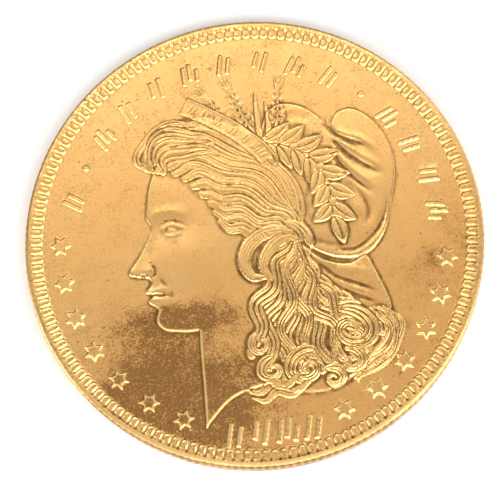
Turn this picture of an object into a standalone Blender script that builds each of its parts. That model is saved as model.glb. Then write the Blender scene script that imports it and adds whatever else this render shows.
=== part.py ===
"""A large struck coin that lies flat: portrait side up, reeded edge, toothed rims.

The coin is one closed solid in metres. Its origin is under its middle, on the
surface that it lies on. +Y points to the top of the portrait side's design and
+Z out of that side. The carving is worked out as heights above each field, over
a plan in carving units, of which a portrait's field radius has a hundred.
"""

import math

import bmesh
import bpy
import numpy as np
from mathutils import Vector
from mathutils.geometry import delaunay_2d_cdt

# Overall sizes in metres
DIAMETER = 0.0381
RIM_THICKNESS = 0.0024
FIELD_RECESS = 0.00022
RIM_WIDTH = 0.00055

# Reeds on the edge
REED_COUNT = 188
REED_DEPTH = 0.00006

# Teeth inside each rim
TOOTH_COUNT = 151
TOOTH_LENGTH = 0.00097
TOOTH_HEIGHT = 0.0001
TOOTH_TIP_SLOPE = 0.00026
TOOTH_ROOT_GAP = 0.00008

# The field inside the teeth, from which the clearances below are taken
FIELD_RADIUS = DIAMETER / 2 - RIM_WIDTH - TOOTH_LENGTH

# The portrait
PORTRAIT_CLEARANCE = 0.00023
PORTRAIT_FIELD_RADIUS = FIELD_RADIUS - PORTRAIT_CLEARANCE
PORTRAIT_MIDDLE = (0.00007, -0.00062)
RELIEF_HEIGHT = 0.00021
CARVING_PITCH = 0.9
FACETS = 9800

# Stars and strokes around the portrait
STAR_RADIUS = 0.00097
STAR_CLEARANCE = 0.00049
STAR_CIRCLE = FIELD_RADIUS - STAR_CLEARANCE - STAR_RADIUS
STAR_HEIGHT = 0.00009
LEFT_STAR_COUNT = 7
LEFT_STARS_FROM = 175.5
RIGHT_STAR_COUNT = 6
RIGHT_STARS_FROM = 291.2
STAR_STEP = 11.3
EDGE_SLOPE = 0.0001
SIGN_HEIGHT = 0.00182
SIGN_CLEARANCE = 0.00121
SIGN_CIRCLE = FIELD_RADIUS - SIGN_CLEARANCE - SIGN_HEIGHT / 2
SIGN_RELIEF = 0.00008
SIGN_COUNT = 15
DOT_PLACES = (1, 10)
DOT_RADIUS = 0.0003
SIGNS_FROM = 161.2
SIGNS_TO = 2.2
ROW_HEIGHT = 0.0021
ROW_STEP = 0.00213
ROW_CLEARANCE = 0.00038
ROW_DROP = FIELD_RADIUS - ROW_CLEARANCE - ROW_HEIGHT / 2
ROW_COUNT = 4

# The other side
LAUREL_CIRCLE = 0.0088
LAUREL_LEAVES = 13
LEAF_LENGTH = 0.0031
LEAF_WIDTH = 0.0011
LEAF_HEIGHT = 0.00015
BACK_SIGN_COUNT = 24
BACK_SIGN_CLEARANCE = 0.00233
BACK_SIGN_CIRCLE = FIELD_RADIUS - BACK_SIGN_CLEARANCE
BOSS_RADIUS = 0.003
BOSS_SLOPE = 0.0004

# Colour of the toned metal
COIN_COLOUR = (0.60, 0.40, 0.155, 1.0)
COIN_ROUGHNESS = 0.36
COIN_METALLIC = 1.0

# A carving unit is a hundredth of the portrait's field, and LIFT turns carved heights into metres
UNIT = PORTRAIT_FIELD_RADIUS / 100
CARVING_PEAK = 0.27
WORN_FROM = 0.20
LIFT = RELIEF_HEIGHT / CARVING_PEAK


# Lines and outlines in the plan

def smooth_line(points, steps=6, closed=False):
    """A smooth run of points through the given ones."""
    p = np.asarray(points, float)
    if closed:
        p = np.vstack([p[-1], p, p[:2]])
    else:
        p = np.vstack([2 * p[0] - p[1], p, 2 * p[-1] - p[-2]])
    t = np.linspace(0, 1, steps, endpoint=False)[:, None]
    runs = []
    for a, b, c, d in zip(p[:-3], p[1:-2], p[2:-1], p[3:]):
        bend = (2 * a - 5 * b + 4 * c - d) * t**2 + (3 * b - a - 3 * c + d) * t**3
        runs.append(0.5 * (2 * b + (c - a) * t + bend))
    line = np.vstack(runs)
    last = line[:1] if closed else p[-2]
    return np.vstack([line, last])


def measure(x, y, line):
    """Distance to the line, the share of its length there, and the side of it."""
    best = np.full(x.shape, 1e9)
    share = np.zeros(x.shape)
    side = np.ones(x.shape)
    step = np.diff(line, axis=0)
    length = np.maximum(np.hypot(step[:, 0], step[:, 1]), 1e-9)
    run = np.concatenate([[0], np.cumsum(length)])
    for (sx, sy), (dx, dy), l, r in zip(line[:-1], step, length, run):
        t = np.clip(((x - sx) * dx + (y - sy) * dy) / (l * l), 0, 1)
        ox = x - sx - t * dx
        oy = y - sy - t * dy
        d = ox * ox + oy * oy
        near = d < best
        best = np.where(near, d, best)
        share = np.where(near, (r + t * l) / run[-1], share)
        side = np.where(near, np.where(dx * oy - dy * ox < 0, -1.0, 1.0), side)
    return np.sqrt(best), share, side


def inside(x, y, outline):
    odd = np.zeros(x.shape, bool)
    for (ax, ay), (bx, by) in zip(outline[:-1], outline[1:]):
        if ay != by:
            crosses = (ay > y) != (by > y)
            odd ^= crosses & (x < (bx - ax) * (y - ay) / (by - ay) + ax)
    return odd


def ease(t):
    t = np.clip(t, 0, 1)
    return t * t * (3 - 2 * t)


def around(radius, degrees):
    a = math.radians(degrees)
    return np.array([radius * math.cos(a), radius * math.sin(a)])


def between(a, b, share):
    return [(p[0] + (q[0] - p[0]) * share, p[1] + (q[1] - p[1]) * share) for p, q in zip(a, b)]


def soften(a, cells):
    """Mean over a square window, twice."""
    for axis in (0, 1, 0, 1):
        pad = [(0, 0), (0, 0)]
        pad[axis] = (cells + 1, cells)
        total = np.cumsum(np.pad(a, pad, mode="edge"), axis=axis)
        n = 2 * cells + 1
        end = total.shape[axis]
        a = (np.take(total, range(n, end), axis) - np.take(total, range(0, end - n), axis)) / n
    return a


# The carving, over a grid of carving units, with heights up to CARVING_PEAK

class Sheet:
    def __init__(self, pitch, half=100.0):
        self.pitch = pitch
        self.half = half
        axis = np.linspace(-half, half, int(round(2 * half / pitch)) + 1)
        self.x, self.y = np.meshgrid(axis, axis)
        self.middle = np.zeros(2)
        self.form = np.zeros(self.x.shape)
        self.detail = np.zeros(self.x.shape)

    def move(self, step):
        """Count the places that follow from another middle."""
        self.middle = self.middle + step
        self.x = self.x - step[0]
        self.y = self.y - step[1]

    def window(self, line, margin):
        low = np.min(line, axis=0) + self.middle - margin
        high = np.max(line, axis=0) + self.middle + margin
        n = len(self.x)
        i0, j0 = [max(0, int((v + self.half) / self.pitch)) for v in low]
        i1, j1 = [min(n, int((v + self.half) / self.pitch) + 2) for v in high]
        return slice(j0, j1), slice(i0, i1)

    def region(self, outline, margin=4):
        """The depth inside a closed outline, less than zero outside it."""
        w = self.window(outline, margin)
        x, y = self.x[w], self.y[w]
        d = measure(x, y, outline)[0]
        return w, np.where(inside(x, y, outline), d, -d)

    def stroke(self, line, margin):
        w = self.window(line, margin)
        return (w, *measure(self.x[w], self.y[w], line))


def lay(s, outline, rise, edge, swell, reach):
    """A swelling form inside the outline: a steep edge and then a slow rise."""
    w, d = s.region(outline)
    slow = soften(1 - np.exp(-np.maximum(d, 0) / reach), max(1, int(round(2.2 / s.pitch))))
    h = np.where(d > 0, (rise + swell * slow) * ease(d / edge), 0)
    s.form[w] = np.maximum(s.form[w], h)


def bump(s, centre, size, height, turn=0.0):
    """A soft rise, or a hollow where the height is less than zero."""
    w = s.window(np.array([centre, centre]), 2.6 * max(size))
    x = s.x[w] - centre[0]
    y = s.y[w] - centre[1]
    c, q = around(1, turn)
    u = (x * c + y * q) / size[0]
    v = (-x * q + y * c) / size[1]
    s.form[w] += height * np.exp(-(u * u + v * v)) * (s.form[w] > 0)


def crease(s, points, width, height, fade_in=0.3, fade_out=0.3):
    """A soft ridge along a line, or a groove where the height is less than zero."""
    w, d, share, side = s.stroke(smooth_line(points), 2.6 * width)
    fade = ease(share / fade_in) * ease((1 - share) / fade_out)
    s.form[w] += np.where(s.form[w] > 0, height * fade * np.exp(-((d / width) ** 2)), 0)


def lock(s, line, width, strands=0, lift=0.02, crown=0.045, comb=0.04, start=0.4, end=0.2, middle=0.45):
    """A tapered round band laid over what is below it, combed into strands."""
    w, d, share, side = s.stroke(line, width)
    m = middle
    rising = 1 - (1 - start) * (1 - share / m) ** 2
    falling = 1 - (1 - end) * ((share - m) / (1 - m)) ** 2
    t = side * d / (0.5 * width * np.where(share < m, rising, falling))
    crown_shape = np.sqrt(np.clip(1 - t * t, 0, 1))
    h = lift + crown * crown_shape
    if strands:
        # The strands part unevenly, and deeper in some places than in others
        phase = line[0][0] + 0.7 * line[0][1]
        u = t + 0.14 * np.sin(2.1 * t + phase + 5 * share)
        teeth = np.sqrt(np.abs(np.sin(0.5 * np.pi * strands * (u + 1))))
        h = h + comb * (teeth - 1) * (0.35 + 0.65 * crown_shape) * (0.8 + 0.35 * np.sin(9 * share + phase))
    s.detail[w] = np.where(np.abs(t) < 1, h, s.detail[w])


def family(s, guides, count, wave, waves, drift, overlap, **shape):
    """Locks spread between guide lines, each laid over the one before."""
    n = len(guides) - 1
    for k in range(count):
        share = (k + 0.5) / count * n
        i = min(int(share), n - 1)
        a, b = guides[i], guides[i + 1]
        gap = n * np.mean([math.dist(p, q) for p, q in zip(a, b)])
        line = smooth_line(between(a, b, share - i), 8)
        d = np.gradient(line, axis=0)
        d /= np.maximum(np.hypot(d[:, 0], d[:, 1]), 1e-9)[:, None]
        run = np.linspace(0, 1, len(line))
        off = wave * ease(run / 0.2) * np.sin(2 * np.pi * (waves * run + drift * k))
        line = line + np.stack([-d[:, 1], d[:, 0]], 1) * off[:, None]
        lock(s, line, gap / count * overlap, **shape)


def curl(s, centre, radius, begin, way, turns, squash, turn, **shape):
    """A curl of hair: a wide lock that winds in to its centre, and a thinner one inside it."""
    c, q = around(1, turn)
    for size, delay, width in ((1.0, 0, 0.66), (0.60, 160, 0.46)):
        points = []
        for step in range(25):
            share = step / 24
            r = radius * size * (1.0 - 0.76 * share)
            u, v = around(r, begin + way * (delay + 360 * turns * share))
            v *= squash
            points.append((centre[0] + u * c - v * q, centre[1] + u * q + v * c))
        lock(s, smooth_line(points, 2), radius * width, start=0.5, end=0.25, middle=0.25, **shape)


def plate(s, outline, lift, edge, dome=0.0):
    """A raised shape with a domed top, laid over what is below it."""
    w, d = s.region(outline)
    h = lift * ease(d / edge) + dome * (1 - np.exp(-np.maximum(d, 0) / (2 * edge)))
    s.detail[w] = np.where(d > 0, h, s.detail[w])
    return w, d > 0


def leaf(s, base, length, width, turn, bend=0.1, lift=0.08, vein=0.075):
    """A pointed leaf with a curved midrib."""
    f = around(1, turn)
    n = np.array([-f[1], f[0]])
    t = np.linspace(0, 1, 13)
    half = 0.5 * width * np.sin(np.pi * t**0.85) ** 0.8
    middle = np.array(base) + np.outer(t * length, f) + np.outer(bend * length * np.sin(np.pi * t), n)
    one = middle + np.outer(half, n)
    other = (middle - np.outer(half, n))[::-1]
    w, on = plate(s, np.vstack([one, other, one[:1]]), lift, 0.9, 0.035)
    d = measure(s.x[w], s.y[w], middle[:-2])[0]
    s.detail[w] -= np.where(on, vein * np.exp(-((d / 0.5) ** 2)), 0)


def berry(s, centre, radius, lift=0.12):
    w = s.window(np.array([centre, centre]), radius + 1)
    r = np.hypot(s.x[w] - centre[0], s.y[w] - centre[1]) / radius
    h = 0.03 + (lift - 0.03) * np.sqrt(np.clip(1 - r * r, 0, 1))
    s.detail[w] = np.where(r < 1, h, s.detail[w])


def grain_ear(s, base, tip, pairs, size, bend):
    """An ear of grain: a stalk, pairs of kernels and a few bristles."""
    b, t = np.array(base, float), np.array(tip, float)
    length = math.dist(base, tip)
    f = (t - b) / length
    n = np.array([-f[1], f[0]])
    stalk = [b + length * (f * q + n * bend * math.sin(math.pi * q)) for q in np.linspace(0, 1, 5)]
    line = smooth_line(stalk, 12)
    lock(s, line, 1.8, lift=0.05, crown=0.03, start=1, end=0.7)
    turn = math.degrees(math.atan2(f[1], f[0]))
    for k in range(pairs):
        p = line[int((0.42 + 0.54 * k / (pairs - 1)) * (len(line) - 1))]
        small = size * (1 - 0.45 * k / (pairs - 1))
        for side in (-1, 1):
            leaf(s, p + n * side * 0.3 * small, small * 1.9, small * 0.95, turn + side * 24, -0.05 * side)
    for side in (-16, -5, 6, 17):
        end = line[-2] + around(size * 2.6, turn + side)
        lock(s, np.array([line[-2], end]), 0.9, lift=0.035, crown=0.03, start=1, end=0.4)


# The head, in carving units; the face is set out in thirds of its height

FACE_THIRD = 28.0
HAIRLINE = (-51.0, 47.0)


def on_face(forward, down):
    return HAIRLINE[0] - forward * FACE_THIRD, HAIRLINE[1] - down * FACE_THIRD


def face_outline():
    forehead = [(-0.62, -0.22), (-0.30, 0.02), (-0.10, 0.40), (-0.02, 0.78), (0.0, 0.98), (-0.06, 1.17)]
    nose = [(0.05, 1.42), (0.22, 1.68), (0.37, 1.86), (0.36, 1.97), (0.21, 2.02), (0.04, 2.06)]
    lips = [(0.03, 2.15), (0.11, 2.24), (0.13, 2.29), (0.02, 2.345), (0.09, 2.42), (0.06, 2.50)]
    chin = [(-0.05, 2.60), (-0.01, 2.74), (-0.04, 2.88), (-0.16, 2.99), (-0.34, 3.03), (-0.60, 3.06)]
    jaw = [(-0.95, 3.02), (-1.35, 2.80), (-1.66, 2.45), (-1.80, 1.95), (-1.9, 1.2)]
    crown = [(-1.6, 0.2), (-1.0, -0.3)]
    points = [on_face(*p) for p in forehead + nose + lips + chin + jaw + crown]
    return smooth_line(points, 5, closed=True)


def carve_face(s):
    lay(s, face_outline(), 0.080, 1.1, 0.09, 12)
    t = FACE_THIRD
    # Brow, eye socket, eyeball and lids
    bump(s, on_face(-0.42, 1.22), (0.28 * t, 0.16 * t), -0.070, 8)
    bump(s, on_face(-0.10, 1.20), (0.07 * t, 0.12 * t), -0.022)
    brow = ((-0.06, 0.98), (-0.25, 0.90), (-0.50, 0.90), (-0.80, 1.02))
    crease(s, [on_face(*p) for p in brow], 0.06 * t, 0.042, 0.25, 0.5)
    bump(s, on_face(-0.40, 1.235), (0.125 * t, 0.075 * t), 0.062, -6)
    upper_lid = ((-0.255, 1.255), (-0.32, 1.165), (-0.44, 1.135), (-0.58, 1.19), (-0.70, 1.27))
    crease(s, [on_face(*p) for p in upper_lid], 0.024 * t, 0.055, 0.12, 0.35)
    crease(s, [on_face(f, d - 0.075) for f, d in upper_lid], 0.025 * t, -0.026, 0.3, 0.4)
    lower_lid = ((-0.27, 1.29), (-0.38, 1.335), (-0.52, 1.325), (-0.66, 1.28))
    crease(s, [on_face(*p) for p in lower_lid], 0.022 * t, 0.032, 0.3, 0.4)
    bump(s, on_face(-0.345, 1.225), (0.036 * t, 0.05 * t), -0.024)
    # Side of the nose, its wing and nostril
    nose_side = ((-0.14, 1.22), (-0.04, 1.50), (0.03, 1.74))
    crease(s, [on_face(*p) for p in nose_side], 0.09 * t, -0.026, 0.35, 0.35)
    bump(s, on_face(0.05, 1.915), (0.10 * t, 0.09 * t), 0.050)
    wing = ((-0.01, 1.80), (-0.075, 1.88), (-0.065, 1.98), (0.0, 2.03))
    crease(s, [on_face(*p) for p in wing], 0.028 * t, -0.040)
    nostril = ((0.07, 2.015), (0.14, 1.985), (0.20, 1.995))
    crease(s, [on_face(*p) for p in nostril], 0.028 * t, -0.055)
    bump(s, on_face(0.27, 1.90), (0.08 * t, 0.08 * t), 0.022)
    # Fold beside the mouth, lips and chin
    fold = ((-0.10, 2.02), (-0.22, 2.16), (-0.32, 2.32))
    crease(s, [on_face(*p) for p in fold], 0.05 * t, -0.018, 0.3, 0.5)
    bump(s, on_face(-0.06, 2.27), (0.17 * t, 0.052 * t), 0.042, 12)
    bump(s, on_face(-0.06, 2.43), (0.14 * t, 0.056 * t), 0.045, -8)
    mouth = ((0.06, 2.345), (-0.05, 2.335), (-0.16, 2.36), (-0.29, 2.36))
    crease(s, [on_face(*p) for p in mouth], 0.025 * t, -0.060, 0.05, 0.45)
    bump(s, on_face(-0.31, 2.37), (0.06 * t, 0.06 * t), -0.022)
    bump(s, on_face(-0.14, 2.58), (0.20 * t, 0.05 * t), -0.024)
    bump(s, on_face(-0.22, 2.78), (0.20 * t, 0.15 * t), 0.036)
    # Cheek, jaw and forehead
    bump(s, on_face(-0.72, 1.72), (0.40 * t, 0.34 * t), 0.040, 30)
    bump(s, on_face(-0.95, 2.35), (0.45 * t, 0.30 * t), -0.020, 30)
    bump(s, on_face(-0.35, 0.50), (0.40 * t, 0.36 * t), 0.022)


def carve_forms(s):
    front = smooth_line([(-31, -38), (-31.5, -52), (-31.8, -70)], 4)
    cut = smooth_line([(-32.5, -86), (-26, -79), (-18, -72.5), (-8, -69), (4, -67)], 4)
    under_hair = [(20, -60), (26, -30), (20, 0), (-10, 4), (-31, -30), (-31, -38)]
    lay(s, np.vstack([front, cut, under_hair]), 0.085, 1.0, 0.05, 9)
    carve_face(s)
    nape = [(20, 4), (27, -12), (36, -25), (50, -29), (59, -33), (63, -44), (58, -53), (50, -62),
            (40, -69), (30, -74), (14, -74), (1, -70), (-3, -62), (-6, -54), (-7, -45), (-9, -36),
            (-7, -24), (-2, -12), (8, -2)]
    lay(s, smooth_line(nape, 4, closed=True), 0.05, 2.0, 0.075, 9)
    ribbon = [(22, -2), (32, -10), (44, -13), (52, -10), (56, -18), (61, -33), (60, -40), (48, -37),
              (36, -31), (27, -21)]
    lay(s, smooth_line(ribbon, 4, closed=True), 0.09, 1.4, 0.07, 7)
    crease(s, [(27, -9), (36, -19), (48, -25), (58, -30)], 1.6, -0.050, 0.3, 0.3)
    crease(s, [(29, -8), (39, -15), (50, -18), (57, -24)], 1.8, 0.035, 0.3, 0.3)
    crease(s, [(28, -15), (37, -25), (48, -31), (58, -36)], 1.5, -0.045, 0.3, 0.3)
    crown = [(-50, 46), (-49, 55), (-43, 62), (-32, 67), (-18, 68), (0, 60), (16, 50), (26, 34),
             (28, 14), (25, 0), (12, -6), (0, -4), (-9, 3), (-15, 13), (-19, 24), (-29, 36), (-41, 43)]
    lay(s, smooth_line(crown, 4, closed=True), 0.05, 2.0, 0.12, 13)
    cap = [(8, 52), (12, 66), (20, 70), (30, 67.5), (38, 61), (42, 56.5), (46, 62), (54, 63.5),
           (62, 58), (68, 49), (71.5, 37), (71, 25), (67, 12), (63, 0), (57, -8), (49, -12), (39, -11),
           (30, -7), (23, 0), (20, 20), (14, 40)]
    lay(s, smooth_line(cap, 4, closed=True), 0.085, 1.4, 0.095, 9)
    # Folds of the soft cap
    crease(s, [(40, 58), (44, 51), (52, 46), (61, 42)], 1.7, -0.115, 0.1, 0.4)
    crease(s, [(43, 54), (49, 50), (57, 46.5), (65, 39)], 1.7, 0.060, 0.2, 0.35)
    crease(s, [(42, 50), (48, 41), (57, 33), (66, 27)], 1.6, -0.110, 0.15, 0.35)
    crease(s, [(44, 50), (51, 43), (59, 36), (67, 30)], 1.8, 0.065, 0.2, 0.35)
    crease(s, [(41, 46), (45, 35), (52, 26), (61, 17)], 1.4, -0.085, 0.15, 0.35)
    crease(s, [(43, 46), (48, 36), (55, 28), (63, 20)], 1.6, 0.050, 0.2, 0.35)
    # The hem along the back of the cap
    crease(s, [(67, 22), (64, 9), (57, -1), (47, -7), (36, -6)], 1.1, -0.045, 0.25, 0.2)
    crease(s, [(69, 21), (66, 8), (59, -3), (48, -9.5), (36, -8.5)], 1.2, 0.035, 0.2, 0.2)
    crease(s, [(46, 28), (53, 20), (56, 10), (52, 2)], 1.8, -0.070, 0.2, 0.3)
    crease(s, [(44, 22), (49, 15), (51, 7)], 2.0, 0.040, 0.2, 0.35)
    crease(s, [(28, 0), (38, -4), (48, -5)], 2.0, -0.040, 0.2, 0.35)
    crease(s, [(14, 57), (22, 62), (31, 61), (37, 57)], 2.2, -0.035, 0.2, 0.35)


def carve_hair(s, strands):
    # Falls of waved hair on the nape
    falls = [
        [(22, -5), (29, -23), (41, -35), (54, -41), (62, -50)],
        [(21, -2), (26, -18), (32, -32), (40, -44), (44, -60)],
        [(21, 1), (20, -16), (19, -32), (22, -46), (26, -64)],
        [(20, 2), (14, -14), (9, -30), (6, -46), (8, -66)],
        [(19, 3), (9, -9), (1, -22), (-5, -34), (-8, -50)],
    ]
    waved = dict(strands=strands and 3, crown=0.07, comb=0.10)
    family(s, falls, 10, 2.6, 2.7, 0.12, 1.8, start=0.35, end=0.5, middle=0.6, **waved)
    family(s, falls[:-1], 5, 3.1, 2.2, 0.31, 0.8, lift=0.05, start=0.3, end=0.4, middle=0.5, **waved)
    # Locks that wrap round the outer curls
    wrap = [
        [(58, -37), (66, -46), (62, -57), (52, -65), (42, -71)],
        [(50, -37), (57, -45), (54, -54), (46, -61), (37, -67)],
    ]
    family(s, wrap, 4, 0.9, 1.8, 0.2, 1.7, start=0.4, end=0.3, middle=0.4, **waved)
    # Curls at the ends of the falls: middle, radius, begin, way round, turns, squash, turn
    curls = (
        ((-2, -48), 6.5, 60, 1, 0.75, 0.8, 60),
        ((2, -61), 7.5, 70, 1, 0.8, 0.8, 20),
        ((39, -61), 7.5, 100, -1, 0.75, 0.85, 0),
        ((41, -46), 12.5, 130, -1, 1.05, 0.8, -25),
        ((18, -62), 10.5, 60, 1, 0.95, 0.85, 10),
        ((30, -68), 6.5, 120, -1, 0.8, 0.85, 0),
    )
    for centre, radius, begin, way, turns, squash, turn in curls:
        curl(s, centre, radius, begin, way, turns, squash, turn, lift=0.035, **waved)
    # Loose ends below the nape
    tails = (
        [(14, -64), (7, -69), (1, -67), (-5, -71), (-12, -69)],
        [(18, -68), (10, -73), (3, -71), (-3, -75), (-9, -73)],
    )
    for tail in tails:
        lock(s, smooth_line(tail), 4.2, strands and 3, lift=0.03, start=0.6, end=0.15)
    # Hair of the head, from the hairline to where it is gathered
    sweep = [
        [(-46, 57), (-38, 64), (-26, 67), (-10, 62), (6, 52), (18, 36), (24, 16), (23, 3)],
        [(-49, 49), (-42, 56), (-28, 58), (-13, 52), (3, 43), (15, 30), (22, 15), (23, 2)],
        [(-41, 44), (-33, 47), (-21, 46), (-8, 40), (5, 33), (15, 23), (21, 12), (22, 2)],
        [(-29, 36), (-22, 37), (-13, 34), (-3, 29), (7, 23), (15, 16), (20, 9), (22, 2)],
        [(-19, 24), (-14, 21), (-8, 18), (-1, 15), (7, 12), (13, 9), (18, 5), (21, 1)],
        [(-14, 11), (-9, 7), (-3, 5), (3, 4), (9, 3), (14, 2), (18, 1), (21, 0)],
    ]
    combed = dict(strands=strands and 3, crown=0.055, comb=0.06)
    family(s, sweep, 13, 1.5, 2.8, 0.13, 1.75, start=0.5, end=0.35, middle=0.4, **combed)
    # Waves swept up from the forehead
    brow = [
        [(-49, 44), (-52, 51), (-48, 60), (-37, 65), (-24, 66)],
        [(-45, 43), (-46, 49), (-40, 56), (-30, 58), (-18, 56)],
        [(-39, 41), (-38, 46), (-32, 50), (-22, 49), (-12, 44)],
    ]
    swept = dict(strands=strands and 3, lift=0.035, crown=0.07, comb=0.08)
    family(s, brow, 5, 1.5, 1.6, 0.2, 1.9, start=0.4, end=0.3, **swept)
    # Locks in front of the ear and the knot
    outer = smooth_line([(20, 4), (12, 6), (4, 5), (-3, 0), (-6, -8), (-3, -15), (3, -16)])
    lock(s, outer, 6.8, strands, lift=0.045, start=0.5, end=0.4)
    inner = smooth_line([(20, 2), (12, 1), (6, -4), (3, -11), (6, -17)])
    lock(s, inner, 6.2, strands, lift=0.05, start=0.5, end=0.4)
    knot = smooth_line([(17, 9), (22, 6), (25, 0), (24, -7)])
    lock(s, knot, 6.5, strands and 3, lift=0.06, start=0.5, end=0.5)


def carve_wreath(s):
    for blade in ([(9, 46), (8, 60), (8, 76)], [(12, 48), (13, 60), (12.5, 71)]):
        lock(s, smooth_line(blade), 2.6, lift=0.06, crown=0.03, start=0.8, end=0.3)
    grain_ear(s, (12, 44), (-14, 75), 6, 4.0, 0.06)
    grain_ear(s, (11, 46), (-3, 77), 6, 4.0, 0.03)
    grain_ear(s, (13, 48), (19, 75), 5, 3.8, -0.05)
    # Leaves and berries along a curved stem
    stem = smooth_line([(9, 51), (21, 47), (32, 39), (38, 26), (39, 10)], 10)
    lock(s, stem, 2.0, lift=0.06, crown=0.03, start=1, end=0.5)
    for k in range(7):
        i = int((0.02 + 0.90 * k / 6) * (len(stem) - 1))
        d = stem[i + 1] - stem[max(i - 1, 0)]
        turn = math.degrees(math.atan2(d[1], d[0]))
        leaf(s, stem[i], 17.0 - 0.4 * k, 8.2, turn + 48, -0.08)
        leaf(s, stem[i], 15.0 - 0.3 * k, 7.6, turn - 50, 0.08)
        if k % 2 == 0:
            berry(s, stem[i] + 0.7, 2.0)
    leaf(s, stem[-1], 15, 7.6, -76, 0.05)


def carve_band(s, strokes):
    """The band across the hair, with a row of shallow strokes."""
    middle = smooth_line([(-27, 74), (-16, 67), (-4, 58.5), (6, 49), (11, 42)], 8)
    half = 4.8
    w, d, share, side = s.stroke(middle, half + 2)
    h = 0.075 * ease((half - d) / 0.9) + 0.022 * np.exp(-(((d - half + 0.9) / 0.5) ** 2))
    s.detail[w] = np.where((d < half) & (share > 0) & (share < 1), h, s.detail[w])
    if strokes:
        for k in range(7):
            i = int((0.10 + 0.80 * k / 6) * (len(middle) - 1))
            along = middle[i + 1] - middle[i - 1]
            along /= math.hypot(*along)
            up = np.array([-along[1], along[0]])
            for outline in sign_strokes(middle[i], up, 4.8, k):
                w, d = s.region(outline)
                s.detail[w] += np.where(d > 0, 0.035 * ease(d / 0.35), 0)


def carve_portrait(pitch, strands, band_strokes):
    s = Sheet(pitch)
    place = np.array(PORTRAIT_MIDDLE) / UNIT
    s.move(place)
    carve_forms(s)
    carve_hair(s, strands)
    carve_wreath(s)
    carve_band(s, band_strokes)
    s.move(-place)
    # The highest places are rubbed down, so that nothing stands above the rim
    h = s.form + s.detail
    room = CARVING_PEAK - WORN_FROM
    s.form = np.where(h > WORN_FROM, CARVING_PEAK - room * np.exp(-(h - WORN_FROM) / room), h)
    s.detail = np.zeros(h.shape)
    return s


# Signs: strokes that stand in the places of an inscription

def bar(start, end, width):
    f = (end - start) / math.dist(start, end)
    n = np.array([-f[1], f[0]]) * width / 2
    return np.array([start + n, end + n, end - n, start - n, start + n])


SIGNS = (
    ((-0.34, -0.5, -0.10, 0.5), (0.06, -0.5, 0.26, 0.34)),
    ((-0.30, -0.28, -0.12, 0.5), (0.06, -0.5, 0.30, 0.5)),
    ((-0.40, -0.5, -0.20, 0.42), (-0.06, -0.34, 0.10, 0.5), (0.24, -0.5, 0.38, 0.14)),
)


def sign_strokes(centre, up, size, kind, width=0.22):
    across = np.array([up[1], -up[0]])
    bars = []
    for ax, ay, bx, by in SIGNS[kind % 3]:
        start = centre + (across * ax + up * ay) * size
        end = centre + (across * bx + up * by) * size
        bars.append(bar(start, end, width * size))
    return bars


def inset(ring, width):
    """The closed ring, moved in by the width along all its sides."""
    ahead = np.roll(ring, -1, axis=0) - ring
    turning = ring[:, 0] @ np.roll(ring[:, 1], -1) - ring[:, 1] @ np.roll(ring[:, 0], -1)
    normal = np.stack([-ahead[:, 1], ahead[:, 0]], 1) * math.copysign(1, turning)
    normal /= np.hypot(normal[:, 0], normal[:, 1])[:, None]
    before = np.roll(normal, 1, axis=0)
    both = normal + before
    return ring + both * (width / (1 + (normal * before).sum(axis=1)))[:, None]


# The faces' plans: points, lines that must be edges, and heights

class Plan:
    def __init__(self):
        self.points = []
        self.heights = []
        self.edges = []

    def add(self, points, heights, closed=False, joined=True):
        first = len(self.points)
        self.points += [tuple(p) for p in points]
        self.heights += list(heights)
        n = len(points)
        if joined:
            self.edges += [(first + k, first + k + 1) for k in range(n - 1)]
        if closed:
            self.edges.append((first + n - 1, first))

    def raised(self, outline, height, slope, top=None):
        """A raised shape: its outline on the field and a smaller one on top."""
        ring = np.asarray(outline)[:-1]
        self.add(ring, [0.0] * len(ring), closed=True)
        if top is None:
            self.add(inset(ring, slope), [height] * len(ring), closed=True)
        else:
            self.add(top, [height] * len(top), joined=False)

    def mesh(self):
        """Triangles of the plan, with each point's height."""
        result = delaunay_2d_cdt([Vector(p) for p in self.points], self.edges, [], 0, 1e-9, True)
        points = np.array([tuple(v) for v in result[0]])
        triangles = np.array(result[2])
        heights = np.zeros(len(points))
        for k, sources in enumerate(result[3]):
            if sources:
                heights[k] = self.heights[sources[0]]
        middles = points[triangles].mean(axis=1)
        outline = np.array(reeded_outline())
        outline = np.vstack([outline, outline[:1]])
        return points, triangles[inside(middles[:, 0], middles[:, 1], outline)], heights, result[3]


def reeded_outline():
    points = []
    for k in range(2 * REED_COUNT):
        radius = DIAMETER / 2 - REED_DEPTH * (k % 2)
        points.append(around(radius, 180 * k / REED_COUNT))
    return points


def rim_plan():
    """A plan with the reeded outline, the flat rim and its teeth."""
    plan = Plan()
    outline = reeded_outline()
    plan.add(outline, [FIELD_RECESS] * len(outline), joined=False)
    step = 360 / TOOTH_COUNT
    land = DIAMETER / 2 - RIM_WIDTH
    root = land - TOOTH_ROOT_GAP
    tip = land - TOOTH_LENGTH
    teeth = range(TOOTH_COUNT)
    plan.add([around(land, step * k) for k in teeth], [FIELD_RECESS] * TOOTH_COUNT, closed=True)
    plan.add([around(tip, step * (k + 0.5)) for k in teeth], [0.0] * TOOTH_COUNT, closed=True)
    first = len(plan.points)
    for k in teeth:
        plan.add([around(tip + TOOTH_TIP_SLOPE, step * k)], [TOOTH_HEIGHT], joined=False)
        plan.add([around(root, step * (k + 0.5))], [0.0], joined=False)
        on_land, in_gap = first - 2 * TOOTH_COUNT + k, first - TOOTH_COUNT + k
        plan.edges += [(on_land, first + 2 * k), (in_gap, first + 2 * k + 1)]
    return plan


def star_outline(centre, radius, turn):
    ring = [centre + around(radius * (0.56 if k % 2 else 1), turn + 30 * k) for k in range(13)]
    return np.array(ring)


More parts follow.
